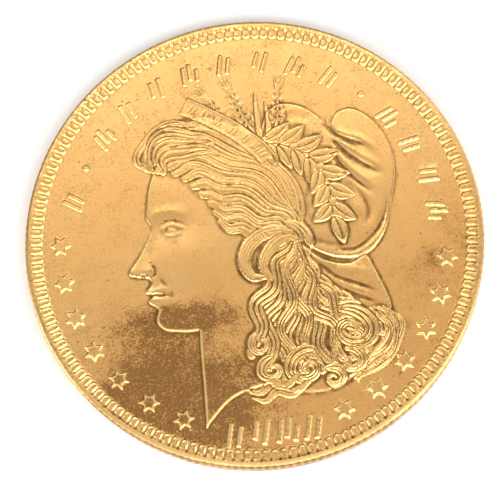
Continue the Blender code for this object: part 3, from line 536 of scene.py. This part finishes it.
def carve_hair(s):
    # Falls of waved hair on the nape
    falls = [
        [(22, -5), (29, -23), (41, -35), (54, -41), (62, -50)],
        [(21, -2), (26, -18), (32, -32), (40, -44), (44, -60)],
        [(21, 1), (20, -16), (19, -32), (22, -46), (26, -64)],
        [(20, 2), (14, -14), (9, -30), (6, -46), (8, -66)],
        [(19, 3), (9, -9), (1, -22), (-5, -34), (-8, -50)],
    ]
    waved = dict(strands=3, crown=0.07, comb=0.115)
    family(s, falls, 10, 2.6, 2.7, 0.12, 1.8, start=0.35, end=0.5, middle=0.6, **waved)
    family(s, falls[:-1], 5, 3.1, 2.2, 0.31, 0.8, lift=0.05, start=0.3, end=0.4, middle=0.5, **waved)
    # Locks that wrap round the outer curls
    wrap = [
        [(58, -37), (66, -46), (62, -57), (52, -65), (42, -71)],
        [(50, -37), (57, -45), (54, -54), (46, -61), (37, -67)],
    ]
    family(s, wrap, 4, 0.9, 1.8, 0.2, 1.7, start=0.4, end=0.3, middle=0.4, **waved)
    # Curls at the ends of the falls: middle, radius, begin, way round, turns, squash, turn
    curls = (
        ((-2, -48), 6.5, 60, 1, 0.75, 0.8, 60),
        ((2, -61), 7.5, 70, 1, 0.8, 0.8, 20),
        ((39, -61), 7.5, 100, -1, 0.75, 0.85, 0),
        ((41, -46), 12.5, 130, -1, 1.05, 0.8, -25),
        ((18, -62), 10.5, 60, 1, 0.95, 0.85, 10),
        ((30, -68), 6.5, 120, -1, 0.8, 0.85, 0),
    )
    for centre, radius, begin, way, turns, squash, turn in curls:
        curl(s, centre, radius, begin, way, turns, squash, turn, lift=0.035, **waved)
    # Loose ends below the nape
    tails = (
        [(14, -64), (7, -69), (1, -67), (-5, -71), (-12, -69)],
        [(18, -68), (10, -73), (3, -71), (-3, -75), (-9, -73)],
    )
    for tail in tails:
        lock(s, smooth_line(tail), 4.2, 3, lift=0.03, start=0.6, end=0.15)
    # Hair of the head, from the hairline to where it is gathered
    sweep = [
        [(-46, 57), (-38, 64), (-26, 67), (-10, 62), (6, 52), (18, 36), (24, 16), (23, 3)],
        [(-49, 49), (-42, 56), (-28, 58), (-13, 52), (3, 43), (15, 30), (22, 15), (23, 2)],
        [(-41, 44), (-33, 47), (-21, 46), (-8, 40), (5, 33), (15, 23), (21, 12), (22, 2)],
        [(-29, 36), (-22, 37), (-13, 34), (-3, 29), (7, 23), (15, 16), (20, 9), (22, 2)],
        [(-19, 24), (-14, 21), (-8, 18), (-1, 15), (7, 12), (13, 9), (18, 5), (21, 1)],
        [(-14, 11), (-9, 7), (-3, 5), (3, 4), (9, 3), (14, 2), (18, 1), (21, 0)],
    ]
    combed = dict(strands=3, crown=0.055, comb=0.042)
    family(s, sweep, 13, 1.5, 2.8, 0.13, 1.75, start=0.5, end=0.35, middle=0.4, **combed)
    # Waves swept up from the forehead
    brow = [
        [(-49, 44), (-52, 51), (-48, 60), (-37, 65), (-24, 66)],
        [(-45, 43), (-46, 49), (-40, 56), (-30, 58), (-18, 56)],
        [(-39, 41), (-38, 46), (-32, 50), (-22, 49), (-12, 44)],
    ]
    swept = dict(strands=3, lift=0.035, crown=0.07, comb=0.08)
    family(s, brow, 5, 1.5, 1.6, 0.2, 1.9, start=0.4, end=0.3, **swept)
    # Locks in front of the ear and the knot
    outer = smooth_line([(20, 4), (12, 6), (4, 5), (-3, 0), (-6, -8), (-3, -15), (3, -16)])
    lock(s, outer, 6.8, 4, lift=0.045, start=0.5, end=0.4)
    inner = smooth_line([(20, 2), (12, 1), (6, -4), (3, -11), (6, -17)])
    lock(s, inner, 6.2, 4, lift=0.05, start=0.5, end=0.4)
    knot = smooth_line([(17, 9), (22, 6), (25, 0), (24, -7)])
    lock(s, knot, 6.5, 3, lift=0.06, start=0.5, end=0.5)


def carve_wreath(s):
    for blade in ([(9, 46), (8, 60), (8, 76)], [(12, 48), (13, 60), (12.5, 71)]):
        lock(s, smooth_line(blade), 2.6, lift=0.06, crown=0.03, start=0.8, end=0.3)
    grain_ear(s, (12, 44), (-14, 75), 6, 4.0, 0.06)
    grain_ear(s, (11, 46), (-3, 77), 6, 4.0, 0.03)
    grain_ear(s, (13, 48), (19, 75), 5, 3.8, -0.05)
    # Leaves and berries along a curved stem
    stem = smooth_line([(9, 51), (21, 47), (32, 39), (38, 26), (39, 10)], 10)
    lock(s, stem, 2.0, lift=0.06, crown=0.03, start=1, end=0.5)
    for k in range(7):
        i = int((0.02 + 0.90 * k / 6) * (len(stem) - 1))
        d = stem[i + 1] - stem[max(i - 1, 0)]
        turn = math.degrees(math.atan2(d[1], d[0]))
        leaf(s, stem[i], 17.0 - 0.4 * k, 8.2, turn + 48, -0.08)
        leaf(s, stem[i], 15.0 - 0.3 * k, 7.6, turn - 50, 0.08)
        if k % 2 == 0:
            berry(s, stem[i] + 0.7, 2.0)
    leaf(s, stem[-1], 15, 7.6, -76, 0.05)


def carve_band(s):
    """The band across the hair, with a row of shallow strokes."""
    middle = smooth_line([(-27, 74), (-16, 67), (-4, 58.5), (6, 49), (11, 42)], 8)
    half = 4.8
    w, d, share, side = s.stroke(middle, half + 2)
    h = 0.075 * ease((half - d) / 0.9) + 0.022 * np.exp(-(((d - half + 0.9) / 0.5) ** 2))
    s.detail[w] = np.where((d < half) & (share > 0) & (share < 1), h, s.detail[w])
    for k in range(7):
        i = int((0.10 + 0.80 * k / 6) * (len(middle) - 1))
        along = middle[i + 1] - middle[i - 1]
        along /= math.hypot(*along)
        up = np.array([-along[1], along[0]])
        for outline in sign_strokes(middle[i], up, half, k):
            w, d = s.region(outline)
            s.detail[w] += np.where(d > 0, 0.035 * ease(d / 0.35), 0)


def carve_portrait(pitch):
    s = Sheet(pitch)
    place = np.array(PORTRAIT_MIDDLE) / UNIT
    s.move(place)
    carve_forms(s)
    carve_hair(s)
    carve_wreath(s)
    carve_band(s)
    s.move(-place)
    # The highest places are rubbed down, so that nothing stands above the rim
    h = s.form + s.detail
    room = CARVING_PEAK - WORN_FROM
    s.form = np.where(h > WORN_FROM, CARVING_PEAK - room * np.exp(-(h - WORN_FROM) / room), h)
    s.detail = np.zeros(h.shape)
    return s


# Signs: strokes that stand in the places of an inscription

def bar(start, end, width):
    f = (end - start) / math.dist(start, end)
    n = np.array([-f[1], f[0]]) * width / 2
    return np.array([start + n, end + n, end - n, start - n, start + n])


SIGNS = (
    ((-0.34, -0.5, -0.10, 0.5), (0.06, -0.5, 0.26, 0.34)),
    ((-0.30, -0.28, -0.12, 0.5), (0.06, -0.5, 0.30, 0.5)),
    ((-0.40, -0.5, -0.20, 0.42), (-0.06, -0.34, 0.10, 0.5), (0.24, -0.5, 0.38, 0.14)),
)


def sign_strokes(centre, up, size, kind, width=0.22):
    across = np.array([up[1], -up[0]])
    bars = []
    for ax, ay, bx, by in SIGNS[kind % 3]:
        start = centre + (across * ax + up * ay) * size
        end = centre + (across * bx + up * by) * size
        bars.append(bar(start, end, width * size))
    return bars


# Both sides as heights in metres over a fine grid

def raised(s, outline, height):
    """A shape on the field with sloping sides and a flat top."""
    w, d = s.region(np.asarray(outline) / UNIT, 2)
    s.form[w] = np.maximum(s.form[w], height / LIFT * ease(d * UNIT / EDGE_SLOPE))


def star_outline(centre, radius, turn):
    return np.array([centre + around(radius * (0.56 if k % 2 else 1), turn + 30 * k) for k in range(13)])


def carve_rim(s):
    """Teeth with round inner ends, and the flat rim behind them."""
    r = np.hypot(s.x, s.y) * UNIT
    a = np.arctan2(s.y, s.x)
    land = DIAMETER / 2 - RIM_WIDTH
    share = np.arccos(np.clip(np.cos(a * TOOTH_COUNT), -1, 1)) / math.pi
    across = share * math.pi / TOOTH_COUNT * r
    half = TOOTH_FILL * math.pi / TOOTH_COUNT * land
    start = land - TOOTH_LENGTH + half
    d = np.where(r < start, np.hypot(across, start - r), across)
    tooth = TOOTH_HEIGHT * ease((half - d) / TOOTH_SLOPE) * (r < land + 0.0001)
    flat = FIELD_RECESS * ease((r - land + 0.00008) / 0.00018)
    s.form = np.maximum(s.form, np.maximum(tooth, flat) / LIFT)


def front_sheet():
    s = carve_portrait(FRONT_PITCH)
    s.dressed = s.form + s.detail > 0
    for first, count in ((LEFT_STARS_FROM, LEFT_STAR_COUNT), (RIGHT_STARS_FROM, RIGHT_STAR_COUNT)):
        for k in range(count):
            turn = first + STAR_STEP * k
            raised(s, star_outline(around(STAR_CIRCLE, turn), STAR_RADIUS, turn), STAR_HEIGHT)
    for k in range(SIGN_COUNT):
        turn = SIGNS_FROM + (SIGNS_TO - SIGNS_FROM) * k / (SIGN_COUNT - 1)
        up = around(1, turn)
        if k in DOT_PLACES:
            dot = [up * SIGN_CIRCLE + around(DOT_RADIUS, turn + 15 * j) for j in range(25)]
            raised(s, dot, SIGN_RELIEF)
            continue
        for outline in sign_strokes(up * SIGN_CIRCLE, up, SIGN_HEIGHT, k):
            raised(s, outline, SIGN_RELIEF)
    for k in range(ROW_COUNT):
        x = ROW_STEP * (k - (ROW_COUNT - 1) / 2)
        for outline in sign_strokes(np.array([x, -ROW_DROP]), np.array([0.0, 1.0]), ROW_HEIGHT, k):
            raised(s, outline, SIGN_RELIEF)
    carve_rim(s)
    return s


def back_sheet():
    s = Sheet(BACK_PITCH)
    s.dressed = s.form < 0
    for side in (-1, 1):
        for k in range(LAUREL_LEAVES):
            turn = -90 + side * (14 + 148 * k / (LAUREL_LEAVES - 1))
            for lean in (-1, 1):
                heading = turn + side * (90 + 30 * lean)
                base = (around(LAUREL_CIRCLE, turn) + around(LEAF_WIDTH * 0.3, heading)) / UNIT
                length = LEAF_LENGTH * 0.75 / UNIT
                lift = 0.6 * LEAF_HEIGHT / LIFT
                leaf(s, base, length, LEAF_WIDTH / UNIT, heading, 0.0, lift, 0.05)
        stem = [around(LAUREL_CIRCLE / UNIT, -90 + side * t) for t in np.linspace(6, 166, 21)]
        lock(s, np.array(stem), 2.2, lift=0.03, crown=0.06, start=0.9, end=0.4)
    circle = np.array([around(BOSS_RADIUS, 7.5 * k) for k in range(49)]) / UNIT
    w, d = s.region(circle, 2)
    s.form[w] = np.maximum(s.form[w], LEAF_HEIGHT / LIFT * ease(d * UNIT / BOSS_SLOPE))
    for k in range(BACK_SIGN_COUNT):
        up = around(1, 90 + 360 * (k + 0.5) / BACK_SIGN_COUNT)
        across = np.array([up[1], -up[0]]) * SIGN_HEIGHT / 2
        middle = up * BACK_SIGN_CIRCLE
        raised(s, bar(middle - across, middle + across, SIGN_HEIGHT * 0.16), SIGN_RELIEF)
    carve_rim(s)
    return s


# The fine mesh

def block_error(a, size):
    """How far each block of the grid is from a plain span between its corners."""
    c = a[::size, ::size]
    t = np.arange(size) / size
    v = t[None, :, None, None]
    u = t[None, None, None, :]
    c00 = c[:-1, None, :-1, None]
    c01 = c[:-1, None, 1:, None]
    c10 = c[1:, None, :-1, None]
    c11 = c[1:, None, 1:, None]
    flat = (c00 * (1 - u) + c01 * u) * (1 - v) + (c10 * (1 - u) + c11 * u) * v
    m = len(c) - 1
    cells = a[:-1, :-1].reshape(m, size, m, size)
    return np.abs(cells - flat).max(axis=(1, 3))


def grid_points(height, shade, slope, tolerance):
    """Grid points that hold the height, slope and shading, denser where they bend more."""
    keep = np.zeros(height.shape, bool)
    size = COARSEST
    m = (len(height) - 1) // size
    active = np.ones((m, m), bool)
    while True:
        j, i = np.nonzero(active)
        for dj in (0, 1):
            for di in (0, 1):
                keep[(j + dj) * size, (i + di) * size] = True
        if size == 1:
            return keep
        rough = block_error(height, size) > tolerance * (2.2 if size == 2 else 1)
        if size > 2:
            rough |= block_error(shade, size) > SHADE_TOLERANCE
            rough |= block_error(slope, size) > SLOPE_TOLERANCE
        active = np.kron(active & rough, np.ones((2, 2), bool))
        size //= 2


def sample(grid, pitch, points):
    """A grid's values at points between its own, by a straight span."""
    at = np.clip((points / UNIT + GRID_HALF) / pitch, 0, len(grid) - 1.001)
    low = at.astype(int)
    u, v = (at - low).T
    i, j = low.T
    lower = grid[j, i] * (1 - u) + grid[j, i + 1] * u
    upper = grid[j + 1, i] * (1 - u) + grid[j + 1, i + 1] * u
    return lower * (1 - v) + upper * v


def tooth_points():
    """Points on arches, one inside the other, over every tooth, and along the gaps."""
    land = DIAMETER / 2 - RIM_WIDTH
    half = TOOTH_FILL * math.pi / TOOTH_COUNT * land
    start = land - TOOTH_LENGTH + half
    rows = np.linspace(start, land - 0.00004, 3)
    points = []
    for k in range(TOOTH_COUNT):
        heading = 360 * k / TOOTH_COUNT
        out = around(1, heading)
        side = np.array([-out[1], out[0]])
        gap = 360 * (k + 0.5) / TOOTH_COUNT
        for row in rows:
            points.append(out * row)
            points.append(around(row, gap))
            for arch in TOOTH_ARCHES:
                points.append(out * row + side * arch * half)
                points.append(out * row - side * arch * half)
        for arch in TOOTH_ARCHES:
            for turn in (-60, -30, 0, 30, 60):
                points.append(out * start - around(arch * half, heading + turn))
        for row in (land + 0.00002, land + 0.00006):
            points.append(out * row)
            points.append(around(row, gap))
        # A ring on the field keeps the feet of the teeth narrow
        for quarter in range(4):
            points.append(around(start - TOOTH_FOOT * half, 360 * (k + quarter / 4) / TOOTH_COUNT))
    return np.array(points)


class Side:
    """One side's points, normals, shading and triangles, within the rim's join."""

    def __init__(self, sheet, pitch, tolerance):
        h = np.maximum(sheet.form + sheet.detail, 0) * LIFT
        pad = np.pad(h, 1, mode="edge")
        h = 0.5 * h + 0.125 * (pad[2:, 1:-1] + pad[:-2, 1:-1] + pad[1:-1, 2:] + pad[1:-1, :-2])
        low = soften(h, 4)
        dressed = soften(sheet.dressed * 1.0, 3)
        # Raised edges get wear and a painted highlight, and hollows in the relief get dirt and painted
        # shade
        ridge = np.clip((h - soften(h, 2)) / RIDGE, 0, 1) * (0.55 + 0.45 * dressed)
        hollow = np.clip((low - h) / HOLLOW, 0, 1) * dressed
        # The hair above is worn flatter and the hair below holds more dirt; the painted highlight and
        # painted shade are weaker above and stronger below
        cavity = (ridge - hollow) * (0.55 + 0.85 * ease((20 - sheet.y) / 50))
        gy, gx = np.gradient(h, pitch * UNIT)
        keep = grid_points(h, cavity, np.hypot(gx, gy), tolerance)
        r = np.hypot(sheet.x, sheet.y) * UNIT
        keep &= r < FIELD_RADIUS - FOOT_CLEARANCE
        ring = np.array([around(JOIN, 360 * k / EDGE_POINTS) for k in range(EDGE_POINTS)])
        inner = np.stack([sheet.x[keep], sheet.y[keep]], 1) * UNIT
        self.points = np.vstack([ring, inner, tooth_points()])
        self.heights = sample(h, pitch, self.points)
        self.heights[:len(ring)] = FIELD_RECESS
        across = -sample(gx, pitch, self.points)
        along = -sample(gy, pitch, self.points)
        self.normals = np.stack([across, along, np.ones(len(self.points))], 1)
        self.normals[:len(ring)] = (0, 0, 1)
        self.shade = sample(cavity, pitch, self.points)
        scale = 1 / UNIT
        result = delaunay_2d_cdt([Vector(p * scale) for p in self.points], [], [], 0, 1e-7, True)
        order = np.array([sources[0] for sources in result[3]])
        self.triangles = order[np.array(result[2])]


def tone_at(x, y):
    """How dark the toning is at a point of the portrait side, from 0 to 1."""
    # Darker towards the bottom
    tone = 0.10 + 0.10 * ease((20 - y) / 60)
    for cx, cy, sx, sy, amount in TONED:
        tone = tone + amount * np.exp(-(((x - cx) / sx) ** 2 + ((y - cy) / sy) ** 2))
    # The teeth are lighter than the field towards the left, and browner towards the right
    r = np.hypot(x, y) * UNIT
    land = DIAMETER / 2 - RIM_WIDTH
    teeth = ease((r - land + TOOTH_LENGTH) / 0.0001) * ease((land - r) / 0.0001)
    tone = tone * (1 - 0.85 * teeth * ease((40 - x) / 80)) + 0.16 * teeth * ease((x - 40) / 60)
    # The rim is a little browner than the field above, and browner still at the bottom
    tone = tone + 0.22 * ease((r - land) / 0.0001) * ease((y + 20) / 60)
    tone = tone + 0.30 * ease((r - land) / 0.0001) * ease((-75 - y) / 25)
    return np.clip(tone, 0, 1)


def wall_rings():
    """The points, normals and shading of the rounded shoulders and the reeded wall."""
    turn = 2 * np.pi * np.arange(EDGE_POINTS) / EDGE_POINTS
    reeds = np.tile(REED_STEPS, REED_COUNT)
    slope = np.gradient(reeds) * REED_DEPTH / (math.pi * DIAMETER / EDGE_POINTS)
    rings = [(inward, RIM_THICKNESS - drop, share, 1) for inward, drop, share in SHOULDER]
    rings += [(0.0, RIM_THICKNESS / 2, 1.0, 0)]
    rings += [(inward, drop, share, -1) for inward, drop, share in SHOULDER[::-1]]
    points = []
    normals = []
    shades = []
    for k, (inward, z, share, side) in enumerate(rings):
        radius = DIAMETER / 2 - inward - REED_DEPTH * reeds * share
        heights = np.full(EDGE_POINTS, z)
        points.append(np.column_stack([radius * np.cos(turn), radius * np.sin(turn), heights]))
        before = rings[max(k - 1, 0)]
        after = rings[min(k + 1, len(rings) - 1)]
        if k == 0 or k == len(rings) - 1:
            lean = side * 1.0
            out = SHOULDER_LEAN
        else:
            dz = before[1] - after[1]
            dr = before[0] - after[0]
            out = dz / math.hypot(dz, dr)
            lean = dr / math.hypot(dz, dr)
        along = slope * share * out
        normals.append(np.column_stack([
            out * np.cos(turn) - along * np.sin(turn),
            out * np.sin(turn) + along * np.cos(turn),
            np.full(EDGE_POINTS, lean),
        ]))
        # Painted shade in the grooves of the reeds, and a painted highlight on their crests and on the
        # shoulders
        shades.append(0.35 - 0.6 * reeds * share)
    return points, normals, shades


def band(one, other):
    """Triangles that join two rings of points."""
    one_ahead = np.roll(one, -1)
    other_ahead = np.roll(other, -1)
    return [np.column_stack([one, other, other_ahead]), np.column_stack([one, other_ahead, one_ahead])]


def add_surface(mesh, points, shade):
    """The attribute that the metal reads: ridge or hollow (wear with a painted highlight, dirt with painted
    shade), toning, and the upper side.
    """
    upper = (points[:, 2] > RIM_THICKNESS / 2) * 1.0
    # The lower half of the edge is browner towards the bottom
    wall = 0.3 + 0.3 * ease((-60 - points[:, 1] / UNIT) / 40)
    tone = np.where(upper > 0, tone_at(points[:, 0] / UNIT, points[:, 1] / UNIT), wall)
    colours = np.column_stack([shade * 0.5 + 0.5, tone, upper, np.ones(len(points))])
    surface = mesh.attributes.new("surface", "FLOAT_COLOR", "POINT")
    surface.data.foreach_set("color", colours.astype(np.float32).ravel())


def build_coin():
    """Both sides and the edge as one closed mesh."""
    front = Side(front_sheet(), FRONT_PITCH, FRONT_TOLERANCE)
    back = Side(back_sheet(), BACK_PITCH, BACK_TOLERANCE)
    points = []
    normals = []
    faces = []
    middle = RIM_THICKNESS / 2
    field = middle - FIELD_RECESS
    for side, part in ((1, front), (-1, back)):
        first = sum(len(p) for p in points)
        z = middle + side * (field + part.heights)
        points.append(np.column_stack([part.points, z]))
        normals.append(part.normals * (1, 1, side))
        faces.append(first + (part.triangles if side > 0 else part.triangles[:, ::-1]))
    # Bands from the front's join over the shoulders and the wall to the back's join
    start = len(front.points) + len(back.points)
    wall_points, wall_normals, wall_shades = wall_rings()
    ring = np.arange(EDGE_POINTS)
    rings = [ring]
    rings += [start + k * EDGE_POINTS + ring for k in range(len(wall_points))]
    rings += [len(front.points) + ring]
    for one, other in zip(rings[:-1], rings[1:]):
        faces += band(one, other)
    points = np.vstack(points + wall_points)
    normals = np.vstack(normals + wall_normals)
    normals /= np.linalg.norm(normals, axis=1)[:, None]
    mesh = bpy.data.meshes.new("struck_coin")
    mesh.from_pydata(points.tolist(), [], np.vstack(faces).tolist())
    mesh.polygons.foreach_set("use_smooth", np.ones(len(mesh.polygons), bool))
    add_surface(mesh, points, np.concatenate([front.shade, back.shade, *wall_shades]))
    add_map(mesh, points, len(front.triangles), len(back.triangles))
    mesh.normals_split_custom_set_from_vertices(normals.astype(np.float32).tolist())
    mesh.validate()
    return bpy.data.objects.new("struck_coin", mesh)


def add_map(mesh, points, front, back):
    """Both sides flat beside each other, and the edge as strips below them."""
    layer = mesh.uv_layers.new(name="OFBake")
    corners = np.empty(len(mesh.loops), int)
    mesh.loops.foreach_get("vertex_index", corners)
    owner = np.repeat(np.arange(len(mesh.polygons)), 3)
    uv = np.zeros((len(corners), 2))
    p = points[corners]
    flat = p[:, :2] / DIAMETER
    on_front = owner < front
    on_back = (owner >= front) & (owner < front + back)
    edge = ~(on_front | on_back)
    uv[on_front] = np.column_stack([0.25 + 0.49 * flat[on_front, 0], 0.74 + 0.49 * flat[on_front, 1]])
    uv[on_back] = np.column_stack([0.75 - 0.49 * flat[on_back, 0], 0.74 + 0.49 * flat[on_back, 1]])
    # The edge is cut into four strips
    turn = np.arctan2(p[:, 1], p[:, 0]) / (2 * np.pi) % 1.0
    middle = turn.reshape(-1, 3)
    wrap = (middle.max(axis=1) - middle.min(axis=1)) > 0.5
    middle = np.where(wrap[:, None] & (middle < 0.5), middle + 1, middle)
    strip = np.floor(middle.mean(axis=1) * 4 + 1e-9)[:, None]
    along = (middle * 4 - strip).ravel()
    strip = np.repeat(strip.ravel() % 4, 3)
    across = p[:, 2] / RIM_THICKNESS
    radius = np.linalg.norm(p[:, :2], axis=1)
    inward = DIAMETER / 2 - np.minimum(radius, DIAMETER / 2)
    across = 0.5 + (across - 0.5) * 0.7 + np.sign(across - 0.5) * inward / 0.0004 * 0.15
    uv[edge] = np.column_stack([0.03 + 0.94 * along[edge], 0.02 + 0.11 * strip[edge] + 0.09 * across[edge]])
    layer.data.foreach_set("uv", uv.astype(np.float32).ravel())


# Materials

def node(tree, kind, **values):
    """A new node with the given settings, set out in rows as they are made."""
    n = tree.nodes.new(kind)
    row, column = divmod(len(tree.nodes), 8)
    n.location = (220 * column - 2000, -330 * row)
    for name, value in values.items():
        setattr(n, name, value)
    return n


def toned_metal():
    material = bpy.data.materials.new("toned_metal")
    material.use_nodes = True
    tree = material.node_tree
    link = tree.links.new
    shader = tree.nodes["Principled BSDF"]
    shader.inputs["Metallic"].default_value = 1.0
    surface = node(tree, "ShaderNodeAttribute", attribute_name="surface")
    parts = node(tree, "ShaderNodeSeparateColor")
    link(surface.outputs["Color"], parts.inputs["Color"])
    place = node(tree, "ShaderNodeTexCoord").outputs["Object"]

    def noise(scale, detail, rough, distortion=0.0):
        n = node(tree, "ShaderNodeTexNoise")
        n.inputs["Scale"].default_value = scale
        n.inputs["Detail"].default_value = detail
        n.inputs["Roughness"].default_value = rough
        n.inputs["Distortion"].default_value = distortion
        link(place, n.inputs["Vector"])
        return n.outputs["Fac"]

    def ramp(value, low, high, a=0.0, b=1.0):
        n = node(tree, "ShaderNodeMapRange")
        n.inputs["From Min"].default_value = low
        n.inputs["From Max"].default_value = high
        n.inputs["To Min"].default_value = a
        n.inputs["To Max"].default_value = b
        link(value, n.inputs["Value"])
        return n.outputs["Result"]

    def sums(operation, a, b):
        n = node(tree, "ShaderNodeMath", operation=operation)
        n.use_clamp = operation != "SUBTRACT"
        link(a, n.inputs[0])
        link(b, n.inputs[1])
        return n.outputs[0]

    def mix(amount, a, b):
        n = node(tree, "ShaderNodeMix", data_type="RGBA")
        link(amount, n.inputs[0])
        for socket, value in ((n.inputs[6], a), (n.inputs[7], b)):
            if isinstance(value, tuple):
                socket.default_value = (*value, 1.0)
            else:
                link(value, socket)
        return n.outputs[2]

    cloud = noise(90, 4.0, 0.6)
    blotch = noise(420, 5.0, 0.65, 0.4)
    patch = noise(1300, 4.0, 0.6, 0.3)
    grain = noise(5600, 3.0, 0.8)
    fleck = noise(2600, 2.0, 0.5)
    # Clean metal drifts between pale gold and peach
    gold = mix(ramp(cloud, 0.35, 0.65), PALE_GOLD, PEACH_GOLD)
    gold = mix(ramp(grain, 0.35, 0.65, 0.0, 0.22), gold, GRAIN_GOLD)
    # Toning lies in clouds that break up into speckles at their edges
    broken = sums("ADD", parts.outputs["Green"], ramp(blotch, 0.35, 0.7, -0.16, 0.20))
    mottled = sums("ADD", broken, ramp(patch, 0.35, 0.65, -0.09, 0.09))
    speckle = sums("ADD", mottled, ramp(grain, 0.35, 0.65, -0.32, 0.32))
    toned = ramp(speckle, 0.10, 0.90)
    colour = mix(toned, gold, BROWN)
    deep = ramp(speckle, 0.70, 1.1, 0.0, 0.75)
    colour = mix(deep, colour, DARK_BROWN)
    # Dirt and painted shade lie low beside the relief, and raised edges are rubbed bright with a painted
    # highlight
    hollow = ramp(parts.outputs["Red"], 0.49, 0.31, 0.0, 1.0)
    dirt_and_shade = sums("MULTIPLY", hollow, ramp(patch, 0.3, 0.6, 0.55, 0.95))
    colour = mix(dirt_and_shade, colour, DIRT_AND_SHADE)
    wear_and_highlight = ramp(parts.outputs["Red"], 0.54, 0.80, 0.0, 0.65)
    colour = mix(wear_and_highlight, colour, RUBBED_AND_HIGHLIGHT)
    # A few dark specks
    specks = ramp(fleck, 0.70, 0.76, 0.0, 0.8)
    colour = mix(specks, colour, DARK_BROWN)
    link(colour, shader.inputs["Base Color"])
    rough = sums("ADD", ramp(toned, 0.0, 1.0, 0.28, 0.46), ramp(grain, 0.3, 0.7, 0.0, 0.10))
    link(sums("SUBTRACT", rough, ramp(wear_and_highlight, 0.0, 1.0, 0.0, 0.14)), shader.inputs["Roughness"])
    bump = node(tree, "ShaderNodeBump")
    bump.inputs["Strength"].default_value = BUMP_STRENGTH
    bump.inputs["Distance"].default_value = BUMP_HEIGHT
    link(sums("MULTIPLY", grain, ramp(toned, 0.0, 1.0, 0.6, 1.0)), bump.inputs["Height"])
    link(bump.outputs["Normal"], shader.inputs["Normal"])
    return material


# Floor, lights and camera

def add_floor():
    bpy.ops.mesh.primitive_plane_add(size=FLOOR_SIZE, location=(0, 0, -FLOOR_GAP))
    floor = bpy.context.object
    floor.name = "floor"
    material = bpy.data.materials.new("pale_floor")
    material.use_nodes = True
    shader = material.node_tree.nodes["Principled BSDF"]
    shader.inputs["Base Color"].default_value = (*FLOOR_COLOUR, 1.0)
    shader.inputs["Roughness"].default_value = FLOOR_ROUGHNESS
    floor.data.materials.append(material)


def add_light(name, azimuth, elevation, size, radiance):
    lamp = bpy.data.lights.new(name, "AREA")
    lamp.shape = "RECTANGLE"
    lamp.size, lamp.size_y = size
    lamp.energy = radiance * math.pi * size[0] * size[1]
    item = bpy.data.objects.new(name, lamp)
    a, e = math.radians(azimuth - DESIGN_ROLL), math.radians(elevation)
    towards = Vector((math.cos(e) * math.cos(a), math.cos(e) * math.sin(a), math.sin(e)))
    item.location = towards * LIGHT_DISTANCE
    item.rotation_euler = towards.to_track_quat("Z", "Y").to_euler()
    bpy.context.scene.collection.objects.link(item)


def add_lights():
    for name, values in LIGHTS.items():
        add_light(name, *values)
    world = bpy.data.worlds.new("studio")
    world.use_nodes = True
    background = world.node_tree.nodes["Background"]
    background.inputs["Color"].default_value = WORLD_COLOUR
    background.inputs["Strength"].default_value = WORLD_STRENGTH
    bpy.context.scene.world = world
    bpy.context.scene.view_settings.view_transform = "Standard"


def add_camera():
    camera = bpy.data.cameras.new("camera")
    item = bpy.data.objects.new("camera", camera)
    bpy.context.scene.collection.objects.link(item)
    tilt, a = math.radians(CAMERA_TILT), math.radians(CAMERA_FROM - DESIGN_ROLL)
    back = Vector((math.sin(tilt) * math.cos(a), math.sin(tilt) * math.sin(a), math.cos(tilt)))
    up = Matrix.Rotation(math.radians(-DESIGN_ROLL), 3, "Z") @ Vector((0, 1, 0))
    right = up.cross(back).normalized()
    up = back.cross(right)
    across = (PICTURE_SIZE[0] / 2 - COIN_IN_PICTURE[0]) / PIXELS_PER_METRE
    down = (COIN_IN_PICTURE[1] - PICTURE_SIZE[1] / 2) / PIXELS_PER_METRE
    aim = Vector((0, 0, RIM_THICKNESS)) + right * across + up * down
    turned = Matrix((right, up, back)).transposed().to_4x4()
    item.matrix_world = Matrix.Translation(aim + back * CAMERA_DISTANCE) @ turned
    camera.sensor_width = SENSOR_WIDTH
    camera.lens = SENSOR_WIDTH * CAMERA_DISTANCE * PIXELS_PER_METRE / PICTURE_SIZE[0]
    camera.clip_start = 0.01
    camera.clip_end = 20.0
    bpy.context.scene.camera = item


coin = build_coin()
bpy.context.scene.collection.objects.link(coin)
coin.data.materials.append(toned_metal())
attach(coin, "root")
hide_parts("coin")
add_floor()
add_lights()
add_camera()
